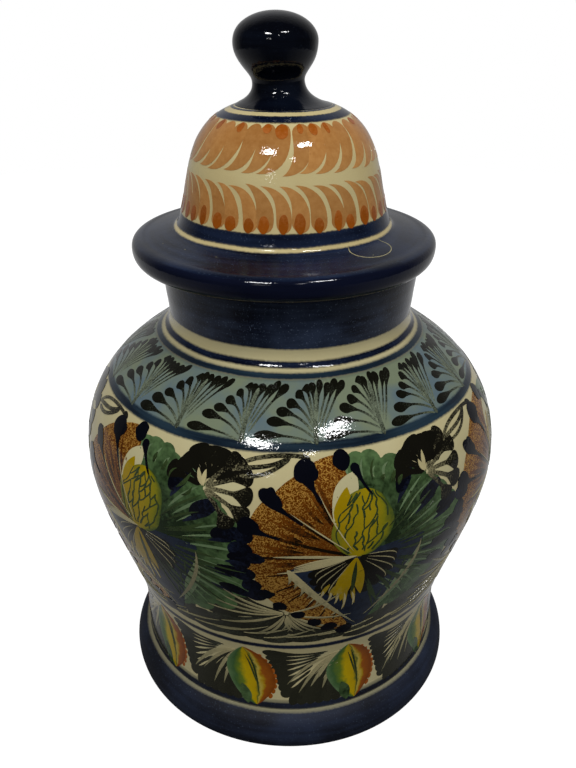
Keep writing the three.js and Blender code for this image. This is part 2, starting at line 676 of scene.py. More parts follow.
@dataclass(frozen=True)
class BlendedPaint(Glazed):
    """Two or three wet paints laid side by side, so that they run into each other across the
    stroke, as the glaze painters do on buds and hearts."""

    stops: tuple[tuple[float, str], ...]
    wander: float = 0.22
    run: float = 4.0

    def paint(self, nodes: Nodes) -> Socket:
        """Run the colours across the stroke, with a wandering border.

        Args:
            nodes: the material's nodes.

        Returns:
            The colour.
        """
        across = nodes.split(nodes.add("UVMap", uv_map="Brush").outputs["UV"])["Y"]
        wandering = nodes.maths("ADD", across, nodes.wander(self.run, self.wander, 3.0))
        return nodes.ramp(wandering, self.stops)


# Manganese black: nearly black brown, opening into specks where the brush ran dry
MANGANESE = BrushPaint("manganese_black", "#0d0d07", "#69725f", speck=0.45, opening=0.56)
# The same black on the bare cream ground, where its specks show cream
MANGANESE_ON_CREAM = BrushPaint("manganese_on_cream", "#0e0d08", "#8a8463", speck=0.6, opening=0.5)
# Iron orange on the dome: a thin tan wash, a little darker where it pooled
IRON_WASH = BrushPaint(
    "iron_orange_wash", "#8f6030", "#a97c48", speck=3.0, contrast=1.2, opening=0.6, wander=0.6
)
# The same orange where the full brush was first set down
IRON_HEAD = BrushPaint(
    "iron_orange_head", "#82420c", "#96592a", speck=1.2, contrast=1.6, opening=0.45, wander=0.6
)
# Ochre of the big petals: rust-coloured worms on tan, about a millimetre across
OCHRE = BrushPaint(
    "ochre_petal", "#502803", "#967030", speck=1.2, contrast=4.0, opening=0.3, worms=6.0
)
# Antimony yellow of the tassels and small petals
YELLOW = BrushPaint("antimony_yellow", "#877003", "#958235", speck=2.2, contrast=1.2, opening=0.5)
# Copper green wash: pooled dark at the root and thin at the tip
COPPER = BrushPaint(
    "copper_green", "#121f0c", "#475e3a", speck=4.0, contrast=1.7, opening=0.5, wander=1.0
)
# Dark green lines drawn into the wash
VEIN = BrushPaint("green_black_vein", "#10140a", "#2c3a1e", speck=0.5, opening=0.5)
# Umber strokes drawn into the ochre petals, soft and speckled
UMBER = BrushPaint("umber_streak", "#120a02", "#5a3008", speck=0.7, contrast=3.0, opening=0.5)
# Cobalt laid thick, nearly black with a blue edge
NAVY = BrushPaint("cobalt_blob", "#04050c", "#161d30", speck=1.5, contrast=1.6, opening=0.5)
# Cobalt laid as a broad dark field
COBALT_FIELD = BrushPaint(
    "cobalt_field", "#090d18", "#1c2534", speck=3.0, contrast=1.4, opening=0.6, wander=0.8
)
# Cream slip scratched or drawn over the dark paint; beside the petals' dark lines it is partly painted
# highlight
CREAM_LINE = BrushPaint("cream_slip_line", "#a0966f", "#6f6b50", speck=0.6, contrast=1.6)
# Gaps and streaks where the cream ground shows through the green
PALE_STREAK = BrushPaint("pale_streak", "#a8a17c", "#56694a", speck=2.0, contrast=1.2, opening=0.9)
# Grey-green black of the low palmettes
SHADE_BLACK = BrushPaint(
    "grey_green_black", "#23231a", "#4a4e40", speck=1.1, contrast=1.6, opening=0.52, wander=0.7
)
# A foot bud: copper green on the left, yellow in the middle and rust on the right
BUD = BlendedPaint(
    "bud_green_yellow_rust",
    (
        (0.0, "#4d6442"),
        (0.14, "#35502c"),
        (0.27, "#56661c"),
        (0.38, "#a18a08"),
        (0.55, "#9c8206"),
        (0.63, "#4a5520"),
        (0.68, "#a08d3c"),
        (0.75, "#8f7212"),
        (0.80, "#7d4410"),
        (1.0, "#66330c"),
    ),
)
# A flower's heart: yellow that runs into the green on its right
HEART = BlendedPaint(
    "heart_yellow_green",
    ((0.0, "#33441a"), (0.15, "#6c690b"), (0.4, "#887507"), (0.75, "#7e6e0a"), (1.0, "#595d18")),
)


@dataclass(frozen=True)
class BandedGlaze(Glazed):
    """The pot's ground: cream tin glaze with cobalt bands and a pale wash, laid on the turning
    wheel, so that each edge wavers a little and the cobalt is streaked along its way round.

    streaks holds how often they change: in a metre to the right, in a metre to the back, and in
    a millimetre along the outline. Each pair of places tells where in its pattern a paint
    changes from its first colour to its second.
    """

    reach: float
    cobalt: Spans
    lines: Spans = ()
    wash: Spans = ()
    # Painted shade: spans of darker cream at the top of the foot, under the belly
    foot_shade: Spans = ()
    # The neck's clouds: real blotches of cobalt, painted paler as painted reflection of light on the
    # neck
    neck_clouds_and_sheen: Spans = ()
    # Painted shade: these spans darken the lid's rolled edge
    pooled: Spans = ()
    dull: Spans = ()
    dull_roughness: float = 0.6
    tilt: float = 0.0
    cream: str = "#aea783"
    cream_warm: str = "#a3976e"
    cobalt_dark: str = "#050917"
    cobalt_light: str = "#151e32"
    cobalt_pale: str = "#252e40"
    dust_pale: str = "#4c586a"
    roll_shade_dark: str = "#03040c"
    roll_shade_light: str = "#0d1226"
    line_dark: str = "#0d1722"
    line_light: str = "#1e2d38"
    speck_pale: str = "#313d4d"
    wash_pale: str = "#666f5a"
    wash_blue: str = "#4f5f66"
    # The cream of the painted shade at the top of the foot
    foot_shade_cream: str = "#77735a"
    edge: float = 0.15
    waver: float = 1.3
    waver_spacing: float = 38.0
    rag: float = 0.6
    rag_spacing: float = 1.3
    cloud_spacing: float = 24.0
    blotch_spacing: float = 15.0
    pinhole_spacing: float = 0.65
    cobalt_clouds: float = 0.6
    cobalt_places: tuple[float, float] = (0.4, 0.62)
    neck_blotches: float = 0.65
    neck_places: tuple[float, float] = (0.38, 0.66)
    wash_places: tuple[float, float] = (0.4, 0.62)
    line_places: tuple[float, float] = (0.36, 0.66)
    pinhole_places: tuple[float, float] = (0.64, 0.82)
    streaks: tuple[float, float, float] = (28.0, 28.0, 0.42)

    def bands(self, nodes: Nodes, along: Socket, spans: Spans) -> Socket:
        """Make a mask that is white inside the given spans of the outline.

        Args:
            nodes: the material's nodes.
            along: the place along the outline, as a share of the whole outline.
            spans: pairs of lower and upper place.

        Returns:
            The mask.
        """
        stops = [(0.0, BLACK)]
        for low, high in spans:
            edges = (low - self.edge, low + self.edge, high - self.edge, high + self.edge)
            for level, at in zip((BLACK, WHITE, WHITE, BLACK), edges):
                stops.append((min(max(at / self.reach, 0), 1), level))
        return nodes.ramp(along, stops)

    def wavering(self, nodes: Nodes) -> Socket:
        """Give the place along the outline, as a share of it that wavers a little.

        Args:
            nodes: the material's nodes.

        Returns:
            The share.
        """
        along = nodes.stored("reach")
        sways = (
            (nodes.noise(self.waver_spacing, 1.0), self.waver),
            (nodes.noise(self.rag_spacing), self.rag),
            (nodes.split(nodes.place)["X"], -self.tilt / MM),
        )
        for source, amount in sways:
            along = nodes.maths("MULTIPLY_ADD", source, amount, along)
        middle = (self.waver + self.rag) / 2
        return nodes.stretch(along, middle, middle + self.reach, 0.0, 1.0)

    def streaked(self, nodes: Nodes) -> Socket:
        """Give the streaks that the turning wheel draws out.

        Args:
            nodes: the material's nodes.

        Returns:
            The pattern.
        """
        split = nodes.split(nodes.place)
        turned = nodes.add("CombineXYZ", {0: split["X"], 1: split["Y"], 2: nodes.stored("reach")})
        drawn = nodes.add("Mapping", {"Vector": turned.outputs["Vector"], "Scale": self.streaks})
        links = {"Vector": drawn.outputs["Vector"], "Scale": 1.0, "Detail": 4.0}
        return nodes.add("TexNoise", links).outputs["Fac"]

    def paint(self, nodes: Nodes) -> Socket:
        """Lay the bands over the cream.

        Args:
            nodes: the material's nodes.

        Returns:
            The colour.
        """
        share = self.wavering(nodes)
        clouds = nodes.noise(self.cloud_spacing, 4.0)
        streaks = self.streaked(nodes)
        pinholes = nodes.fade(
            nodes.noise(self.pinhole_spacing, 1.0), self.pinhole_places, BLACK, WHITE
        )
        uneven = nodes.blend(self.cobalt_clouds, streaks, clouds)
        cobalt = nodes.fade(uneven, self.cobalt_places, self.cobalt_dark, self.cobalt_light)
        blotched = nodes.blend(self.neck_blotches, streaks, nodes.noise(self.blotch_spacing, 5.0))
        neck_clouds_and_sheen = nodes.fade(blotched, self.neck_places, self.cobalt_dark, self.cobalt_pale)
        layers = (
            # Neck clouds, partly painted reflection
            (self.neck_clouds_and_sheen, nodes.mix(pinholes, neck_clouds_and_sheen, self.dust_pale)),
            (self.wash, nodes.fade(clouds, self.wash_places, self.wash_pale, self.wash_blue)),
            # Painted shade at the top of the foot
            (self.foot_shade, self.foot_shade_cream),
            (self.lines, nodes.fade(streaks, self.line_places, self.line_dark, self.line_light)),
            (self.cobalt, nodes.mix(pinholes, cobalt, self.speck_pale)),
            # Painted shade on the lid's rolled edge
            (self.pooled, nodes.mix(streaks, self.roll_shade_dark, self.roll_shade_light)),
        )
        ground = nodes.mix(clouds, self.cream, self.cream_warm)
        for spans, tint in layers:
            if spans:
                ground = nodes.mix(self.bands(nodes, share, spans), ground, tint)
        return ground

    def dullness(self, nodes: Nodes) -> Socket | float:
        """Dull the glaze where hands and shelves have rubbed it.

        Args:
            nodes: the material's nodes.

        Returns:
            The roughness.
        """
        if not self.dull:
            return self.roughness
        share = nodes.stretch(nodes.stored("reach"), 0.0, self.reach, 0.0, 1.0)
        mask = self.bands(nodes, share, self.dull)
        return nodes.stretch(mask, 0.0, 1.0, self.roughness, self.dull_roughness)


def leave_bare(piece: Piece, name: str, centre: float, bare: Callable[[float, float], bool]) -> None:
    """Leave some faces of a pot without glaze.

    Args:
        piece: the pot, with its glaze as its first material.
        name: the name of its clay.
        centre: where its axis stands in x.
        bare: tells from a face's radius and height whether it is bare.
    """
    piece.data.materials.append(BareClay(name).material())
    for face in piece.data.polygons:
        at = face.center / MM
        if bare(math.hypot(at.x - centre, at.y), at.z):
            face.material_index = 1


@dataclass
class PaintLayer:
    """All strokes of one paint on one skin, as low raised patches of glaze."""

    name: str
    skin: Skin
    body: str
    slot: str
    finish: Glazed
    lift: float
    steps: int
    across: int
    seed: int
    wall: float = 0.2
    unevenness: float = 0.05
    waves: float = 9.0
    thinnest: float = 0.06
    stagger: float = 0.002
    stagger_count: int = 10
    shades: tuple[float, float] = (0.9, 1.1)
    strokes: list[Stroke] = field(default_factory=list)

    def blanks(self) -> tuple[Piece, Array]:
        """Model one flat blank and repeat it, one for each stroke.

        Returns:
            The row of blanks, and each vertex's place on its blank, from 0 to 1 along and across.
        """
        deselect_all()
        bpy.ops.mesh.primitive_grid_add(
            x_subdivisions=self.steps, y_subdivisions=self.across, size=1, location=(0, 0, 0)
        )
        piece = bpy.context.object
        piece.name = self.name
        piece.data.name = self.name
        piece.data.uv_layers[0].name = "Brush"
        flat = read_points(piece)[:, :2]
        low, high = flat.min(axis=0), flat.max(axis=0)
        row = piece.modifiers.new("row", "ARRAY")
        row.count = len(self.strokes)
        bpy.ops.object.modifier_apply(modifier=row.name)
        return piece, (flat - low) / (high - low)

    def build(self) -> Piece:
        """Lay the blanks on the pot as strokes.

        Returns:
            The finished piece.
        """
        chance = np.random.default_rng(self.seed)
        piece, places = self.blanks()
        share = (1 - np.cos(np.pi * places[:, 0])) / 2
        side = 2 * places[:, 1] - 1
        flat, lift, load, shade = [], [], [], []
        for index, stroke in enumerate(self.strokes):
            middle, along = curve(stroke.path, share)
            along /= np.maximum(np.linalg.norm(along, axis=1), 1e-9)[:, None]
            left = np.stack([-along[:, 1], along[:, 0]], axis=1)
            phase = chance.uniform(0, 2 * math.pi, 2)
            uneven = 1 + self.unevenness * np.sin(share * self.waves + phase[0] + side)
            wide = np.maximum(stroke.shape.width(share) * stroke.width * uneven, self.thinnest)
            flat.append(middle + left * (side * wide / 2)[:, None])
            raised = self.lift + self.stagger * (index % self.stagger_count)
            lift.append(np.full(len(share), raised))
            load.append(stroke.head + (stroke.tail - stroke.head) * share)
            shade.append(np.full(len(share), chance.uniform(*self.shades)))
        write_points(piece, self.skin.place(np.concatenate(flat), np.concatenate(lift)))
        store(piece, "load", np.concatenate(load))
        store(piece, "shade", np.concatenate(shade))
        wall = piece.modifiers.new("wall", "SOLIDIFY")
        wall.thickness = self.wall * MM
        wall.offset = -1.0
        bpy.ops.object.modifier_apply(modifier=wall.name)
        smooth(piece)
        piece.data.materials.append(self.finish.material())
        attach(piece, self.body)
        LOG.info("%s: %d strokes", self.name, len(self.strokes))
        return piece


@dataclass
class JarBody:
    """The jar: foot, waist, belly, shoulder and neck, thrown in one piece and glazed inside.

    A fullness tells for how much of its rise a bend keeps its first and its last direction.
    """

    body: str = "jar"
    slot: str = "jar_glaze"
    foot_ring_inner: float = 71.4
    foot_ring_outer: float = 81.9
    foot_recess: float = 4.0
    foot_radius: float = 84.7
    foot_widest: float = 7.0
    foot_top: float = 19.0
    waist_radius: float = 77.4
    waist_top: float = 44.0
    belly_radius: float = 98.3
    belly_height: float = 130.0
    foot_fullness: tuple[float, float] = (0.5, 0.5)
    roll_fullness: tuple[float, float] = (0.6, 0.5)
    belly_fullness: tuple[float, float] = (0.22, 0.28)
    shoulder_fullness: tuple[float, float] = (0.57, 0.32)
    neck_radius: float = 55.5
    neck_root: float = 191.6
    neck_round: float = 4.6
    rim_radius: float = 57.9
    rim_height: float = 219.2
    rim_round: float = 1.5
    wall: float = 6.0
    floor_top: float = 12.0
    floor_round: float = 10.0
    shoulder_slope: float = 33.5
    foot_slope: float = 15.0
    sides: int = 240
    glaze_edge: float = 1.1
    glaze_margin: float = 1.0

    def __post_init__(self) -> None:
        """Take the belly's radius and the rim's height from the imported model."""
        low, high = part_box("jar_body")
        self.belly_radius = (high.x - low.x) / 2 / MM
        self.rim_height = high.z / MM

    def side(self) -> list[Array]:
        """Give the outside from the top of the foot to the neck's root.

        Returns:
            Points of radius and height.
        """
        belly_rise = heading(UP) * (self.belly_height - self.waist_top)
        shoulder_rise = self.neck_root - self.belly_height
        leaving, arriving = self.shoulder_fullness
        root = np.array([self.neck_radius, self.neck_root])
        line = Outline(self.waist_radius, self.foot_top)
        line.to(self.waist_radius, self.waist_top)
        first, last = (belly_rise * share for share in self.belly_fullness)
        line.bend(first, last, (self.belly_radius, self.belly_height), 44)
        slope = inwards(self.shoulder_slope, shoulder_rise * arriving)
        top = root - inwards(self.shoulder_slope, self.neck_round)
        line.bend(heading(UP) * shoulder_rise * leaving, slope, top, 44)
        line.round(root, (self.neck_radius, self.neck_root + self.neck_round), 8)
        return line.points

    def outside(self) -> Outline:
        """Give the outside from the standing ring to the rim's outer edge.

        Returns:
            The outline.
        """
        up = heading(UP)
        roll = self.foot_top - self.foot_widest
        first, last = self.foot_fullness
        out = heading(0) * (self.foot_radius - self.foot_ring_outer) * first
        line = Outline(self.foot_ring_outer, 0)
        line.bend(out, up * self.foot_widest * last, (self.foot_radius, self.foot_widest), 10)
        first, last = self.roll_fullness
        over = inwards(self.foot_slope, (self.foot_radius - self.waist_radius) * last)
        line.bend(up * roll * first, over, (self.waist_radius, self.foot_top), 14)
        line.follow(self.side()[1:])
        line.to(self.rim_radius, self.rim_height - self.rim_round)
        return line

    def skin(self, radius: float) -> Skin:
        """Unroll the outside for painting."""
        return Skin(self.outside().points, radius, 0.0)

    def build(self) -> Piece:
        """Throw and glaze the jar.

        Returns:
            The finished piece.
        """
        rim, edge = self.rim_height, self.rim_round
        mouth = self.neck_radius - self.wall
        bore = self.waist_radius - self.wall
        line = Outline(0, self.foot_recess)
        line.to(self.foot_ring_inner - self.foot_recess, self.foot_recess, 12)
        line.to(self.foot_ring_inner, 0, 3)
        line.to(self.foot_ring_outer, 0, 6)
        line.follow(self.outside().points[1:])
        line.round((self.rim_radius, rim), (self.rim_radius - edge, rim))
        line.to(mouth + edge, rim)
        line.round((mouth, rim), (mouth, rim - edge))
        line.follow(inset(self.side(), self.wall)[:0:-3])
        line.to(bore, self.floor_top + self.floor_round, 6)
        line.round((bore, self.floor_top), (bore - self.floor_round, self.floor_top))
        line.to(0, self.floor_top, 12)
        piece = turn_on_wheel("jar_ware", line, self.sides, 0.0)
        skin = self.skin(self.belly_radius)
        skin.mark(piece)
        piece.data.materials.append(self.ground(skin).material())
        leave_bare(piece, "bare_terracotta", 0.0, self.is_bare)
        smooth(piece)
        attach(piece, "jar")
        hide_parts("jar_body")
        LOG.info("jar_ware: %d faces", len(piece.data.polygons))
        return piece

    def is_bare(self, radius: float, height: float) -> bool:
        """Tell whether a spot belongs to the standing ring or to the recess inside it.

        Args:
            radius: how far it lies from the axis.
            height: how high it lies.

        Returns:
            Whether it is left without glaze.
        """
        ring = height < self.glaze_edge and radius < self.foot_radius - self.glaze_margin
        recess = height < self.foot_recess + self.glaze_margin and radius < self.foot_ring_inner
        return ring or recess

    def ground(self, skin: Skin) -> BandedGlaze:
        """Give the jar's bands, from the heights of its painted rings.

        Args:
            skin: the jar's outside.

        Returns:
            The glaze.
        """
        return BandedGlaze(
            "tin_glaze_jar",
            skin.whole,
            skin.spans((0.2, 18.6), (19.4, 23.6), (61.2, 63.9), (189.9, 192.5)),
            lines=skin.spans((167.8, 170.4), (187.0, 189.1)),
            wash=skin.spans((169.8, 187.4)),
            # Painted shade: the cream at the top of the foot is darkened, as if shaded by the belly
            foot_shade=skin.spans((18.0, 25.0)),
            # The neck's paler clouds are partly painted reflection
            neck_clouds_and_sheen=((skin.length_at(197.3), skin.reach[-1] + 1.5),),
            dull=((0.5, skin.length_at(26.0)),),
            dull_roughness=0.7,
            tilt=0.004,
        )


@dataclass
class Lid:
    """The lid: dome, flange and collar, thrown in one piece, with the knob stuck on top."""

    body: str = "lid"
    slot: str = "lid_glaze"
    seat: float = 219.5
    flange_radius: float = 67.5
    flange_widest: float = 7.5
    flange_edge: float = 11.9
    flange_undercut: float = 8.0
    flange_round: float = 6.0
    flange_rise: float = 3.3
    underside: float = 6.0
    glazed_rim: float = 11.0
    collar_depth: float = 12.0
    collar_radius: float = 46.4
    collar_bore: float = 41.4
    dome_foot: float = 47.7
    dome_round: float = 2.6
    dome_height: float = 49.7
    dome_lean: float = 20.0
    dome_top_radius: float = 20.9
    dome_top_slope: float = 18.2
    dome_fullness: tuple[float, float] = (0.36, 0.48)
    dome_wall: float = 5.0
    knob_neck: float = 11.3
    knob_neck_rise: float = 8.8
    knob_ball: float = 17.8
    knob_ball_rise: float = 23.8
    knob_height: float = 35.3
    knob_offset: float = 0.9
    knob_sway: float = 2.4
    knob_seat: float = 284.7
    slip_ring: float = 22.3
    slip_depth: float = 1.5
    slip_sweep: float = 7.5
    slip_border: float = 3.0
    neck_fullness: float = 0.4
    ball_fullness: tuple[float, float] = (0.25, 0.55)
    crown_fullness: tuple[float, float] = (0.6, 0.55)
    seat_margin: float = 0.2
    bore_margin: float = 0.5
    centre: float = -2.7
    sides: int = 200
    knob_sides: int = 96

    def __post_init__(self) -> None:
        """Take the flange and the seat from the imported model, and work out what follows."""
        low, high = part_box("lid")
        self.centre = (high.x + low.x) / 2 / MM
        self.flange_radius = (high.x - low.x) / 2 / MM
        self.seat = low.z / MM + self.collar_depth
        self.flange_top = self.seat + self.flange_edge
        self.dome_base = self.flange_top + self.flange_rise
        self.dome_top = self.dome_base + self.dome_height

    def dome(self) -> list[Array]:
        """Give the dome's outside up to the seat of the knob.

        Returns:
            Points of radius and height.
        """
        foot_edge = self.dome_foot - self.dome_round * math.tan(math.radians(self.dome_lean))
        leaving = inwards(UP - self.dome_lean, self.dome_height * self.dome_fullness[0])
        arriving = inwards(self.dome_top_slope, self.dome_height * self.dome_fullness[1])
        line = Outline(foot_edge, self.dome_base + self.dome_round)
        line.bend(leaving, arriving, (self.dome_top_radius, self.dome_top), 40)
        return line.points

    def outside(self) -> Outline:
        """Give the outside from the flange's underside to the seat of the knob.

        Returns:
            The outline.
        """
        out, top, side = self.flange_radius, self.flange_top, self.dome()
        slope = self.flange_rise / (out - self.flange_round - self.dome_foot)
        edge = out - self.flange_undercut
        line = Outline(edge - self.underside, self.seat)
        line.to(edge, self.seat, 1)
        line.round((out, self.seat), (out, self.seat + self.flange_widest), 10)
        line.round((out, top), (out - self.flange_round, top), 10)
        line.to(self.dome_foot + self.dome_round, self.dome_base - self.dome_round * slope)
        line.round((self.dome_foot, self.dome_base), side[0])
        line.follow(side[1:])
        return line

    def skin(self, radius: float) -> Skin:
        """Unroll the outside for painting."""
        return Skin(self.outside().points, radius, self.centre)

    def build(self) -> Piece:
        """Throw and glaze the lid.

        Returns:
            The finished piece.
        """
        inside = inset(self.dome(), self.dome_wall)[::-2]
        collar_foot = self.seat - self.collar_depth
        line = Outline(0, inside[0][1])
        line.to(*inside[0], 6)
        line.follow(inside[1:])
        line.to(self.collar_bore, self.flange_top, 4)
        line.to(self.collar_bore, collar_foot, 4)
        line.to(self.collar_radius, collar_foot, 3)
        line.to(self.collar_radius, self.seat, 4)
        line.to(self.flange_radius - self.flange_undercut - self.underside, self.seat, 3)
        line.follow(self.outside().points[1:])
        line.to(0, self.dome_top, 6)
        piece = turn_on_wheel("lid_ware", line, self.sides, self.centre)
        skin = self.skin(self.dome_foot)
        skin.mark(piece)
        piece.data.materials.append(self.ground(skin).material())
        leave_bare(piece, "bare_terracotta_seat", self.centre, self.is_bare)
        smooth(piece)
        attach(piece, "lid")
        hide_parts("lid")
        LOG.info("lid_ware: %d faces", len(piece.data.polygons))
        return piece

    def is_bare(self, radius: float, height: float) -> bool:
        """Tell whether a spot belongs to the collar or to the seat beside it."""
        inner, outer = self.collar_bore + self.bore_margin, self.flange_radius - self.glazed_rim
        return height < self.seat + self.seat_margin and inner < radius < outer

    def ground(self, skin: Skin) -> BandedGlaze:
        """Give the lid's bands, from the heights of its painted rings.

        Args:
            skin: the lid's outside.

        Returns:
            The glaze.
        """
        rings = skin.spans((236.6, 241.9), (280.8, 282.85), (283.9, 284.4))
        return BandedGlaze(
            "tin_glaze_lid",
            skin.whole,
            ((1.4, skin.length_at(235.25)), *rings),
            # Painted shade: the flange's rolled edge is painted dark
            pooled=skin.spans((220.5, 230.3)),
            dull=skin.spans((231.3, 234.6)),
            dull_roughness=0.26,
            tilt=0.004,
            waver=2.2,
            cream="#b6ab80",
            cream_warm="#ab996b",
        )

    def knob_outline(self, foot: Array) -> Outline:
        """Give the knob's section, with its bed of slip sunk a little into the dome.

        Args:
            foot: where the slip's edge meets the dome.

        Returns:
            The outline.
        """
        up = heading(UP)
        ball_rise = self.knob_ball_rise - self.knob_neck_rise
        crown = self.knob_height - self.knob_ball_rise
        neck = (self.knob_neck, self.knob_seat + self.knob_neck_rise)
        ball = (self.knob_ball, self.knob_seat + self.knob_ball_rise)
        line = Outline(0, foot[1] - self.slip_depth)
        line.to(foot[0] - 1.0, foot[1] - self.slip_depth, 6)
        line.to(foot[0], foot[1] - 0.1, 1)
        line.to(foot[0] - 0.3, foot[1] + 0.1, 1)
        sweep = inwards(self.dome_top_slope, self.slip_sweep)
        line.bend(sweep, up * self.knob_neck_rise * self.neck_fullness, neck, 24)
        first, last = self.ball_fullness
        line.bend(up * ball_rise * first, up * ball_rise * last, ball, 22)
        first, last = self.crown_fullness
        top = (0, self.knob_seat + self.knob_height)
        line.bend(up * crown * first, -heading(0) * self.knob_ball * last, top, 22)
        return line

    def build_knob(self) -> Piece:
        """Throw the knob, bed it in slip on the dome, lean it to the left and glaze it.

        Returns:
            The finished piece.
        """
        foot = next(point for point in self.dome() if point[0] <= self.slip_ring)
        piece = turn_on_wheel("knob_ware", self.knob_outline(foot), self.knob_sides, self.centre)
        points = read_points(piece)
        share = np.clip((points[:, 2] - self.knob_seat) / self.knob_ball_rise, 0, 1)
        lean = -(self.knob_offset + self.knob_sway * np.sin(math.pi / 2 * share))
        radius = np.hypot(points[:, 0] - self.centre, points[:, 1])
        border = np.clip((foot[0] - radius) / self.slip_border, 0, 1)
        raised = np.clip((points[:, 2] - self.knob_seat) / self.slip_border, 0, 1)
        points[:, 0] += lean * np.maximum(border, raised)
        write_points(piece, points)
        store(piece, "reach", points[:, 2])
        glaze = BandedGlaze(
            "cobalt_glaze_knob",
            330.0,
            cobalt=((260, 329),),
            cobalt_dark="#020308",
            cobalt_light="#070b15",
            speck_pale="#10151f",
        )
        piece.data.materials.append(glaze.material())
        smooth(piece, 60)
        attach(piece, "lid")
        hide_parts("lid_knob")
        LOG.info("knob_ware: %d faces", len(piece.data.polygons))
        return piece


@dataclass
class Painter:
    """One band of brushwork: its layers of paint, and the hand that lays no two strokes alike.

    Its plan names each layer, with its paint, its lift, its patches' steps along and across,
    and its seed.
    """

    pot: JarBody | Lid
    radius: float
    seed: int
    plan: tuple[tuple, ...]
    prefix: str = ""

    def __post_init__(self) -> None:
        """Unroll the pot's skin and open the layers."""
        self.skin = self.pot.skin(self.radius)
        self.draw = np.random.default_rng(self.seed).uniform
        where = (self.skin, self.pot.body, self.pot.slot)
        self.layers = {row[0]: PaintLayer(self.prefix + row[0], *where, *row[1:]) for row in self.plan}

    def lay(
        self, layer: str, path: Sequence, width: float, shape: Shape, head: float = 1, tail: float = 0.6
    ) -> None:
        """Lay one stroke, from where the brush is set down to where it is lifted."""
        self.layers[layer].strokes.append(Stroke(path, width, shape, head, tail))

    def paint(self) -> None:
        """Lay all strokes."""
        raise NotImplementedError

    def build(self) -> list[Piece]:
        """Paint the band."""
        self.paint()
        return [layer.build() for layer in self.layers.values()]


@dataclass
class DomeFeathers(Painter):
    """Two rows of feathered orange strokes that meet at a wavy cream spine round the dome, and
    the fine pale crack that loops over the flange."""

    radius: float = 44.0
    seed: int = 11
    plan: tuple[tuple, ...] = (
        ("dome_feathers", IRON_WASH, 0.06, 20, 5, 12),
        ("dome_heads", IRON_HEAD, 0.14, 12, 4, 13),
        ("flange_crack", CREAM_LINE, 0.05, 40, 2, 14),
    )
    low: float = 242.3
    spine: float = 261.5
    high: float = 280.6
    upper_count: int = 32
    lower_count: int = 38
    crack: Spans = (
        (33.0, 235.3), (29.0, 233.3), (36.0, 231.7), (50.0, 231.6), (60.0, 233.0), (54.0, 235.3)
    )
    pits: tuple[float, ...] = (-48.0, -30.0, -63.0, 40.0, 118.0, 190.0, 262.0)

    def paint(self) -> None:
        """Paint the upper row, the lower row and the crack."""
        self.paint_upper()
        self.paint_lower()
        self.paint_crack()

    def spot(self, index: int, count: int) -> float:
        """Tell how far round one of a number of strokes stands."""
        return self.skin.right(TURN) * (index + self.draw(-0.1, 0.1)) / count

    def feather(self, at: float, start: float, lean: float, reach: float, end: float) -> tuple:
        """Give a feather's path, from its head on a ring to its point beside the spine.

        Args:
            at: how far to the right its head stands.
            start: how far up its head stands.
            lean: how far it swings to the right first.
            reach: how far to the left it ends.
            end: how far above the spine it ends.

        Returns:
            The path.
        """
        spine = self.skin.length_at(self.spine)
        way = spine - start
        bend = ((at + lean, start + way * 0.45), (at - reach * 0.2, start + way * 0.85))
        return ((at, start), *bend, (at - reach, spine + end))

    def paint_upper(self) -> None:
        """Hang feathers from the upper ring, most of them with a drop of thick paint."""
        draw, high = self.draw, self.skin.length_at(self.high)
        for index in range(self.upper_count):
            at = self.spot(index, self.upper_count)
            path = self.feather(at, high, 1.8, draw(9.5, 13.0), draw(1.6, 3.2))
            self.lay("dome_feathers", path, draw(8.5, 9.9), FEATHER, 0.95, 0.3)
            pooled = index == 0
            if pooled or draw(0, 1) < 0.65:
                size = 7.2 if pooled else draw(2.2, 5.6)
                drip = (at + draw(-0.6, 0.6), high - (7.0 if pooled else draw(2.8, 5.8)))
                self.lay("dome_heads", ((at, high + 0.1), drip), size, BLOB, 0.8, 0.4)

    def paint_lower(self) -> None:
        """Stand feathers on the lower ring, each with a drop of thick paint."""
        draw, low = self.draw, self.skin.length_at(self.low)
        for index in range(self.lower_count):
            at = self.spot(index, self.lower_count)
            path = self.feather(at, low, 2.0, draw(8.0, 10.5), -draw(1.4, 2.8))
            self.lay("dome_feathers", path, draw(6.0, 7.2), FEATHER, 0.75, 0.3)
            top = (at + draw(-0.2, 0.9), low + draw(4.6, 7.6))
            self.lay("dome_heads", ((at, low - 0.5), top), draw(3.5, 5.2), BLOB, 1.0, 0.4)

    def paint_crack(self) -> None:
        """Draw the crack, and a few pits in the flange's glaze."""
        skin = self.skin
        loop = [(skin.right(angle), skin.length_at(height)) for angle, height in self.crack]
        self.lay("flange_crack", loop, 0.34, LINE, 0.8, 0.4)
        for angle in self.pits:
            pit = np.array([skin.right(angle), skin.length_at(self.draw(231.8, 233.6))])
            self.lay("flange_crack", (pit, pit + [0.3, 0.3]), 0.35, BLOB, 0.2, 0.2)


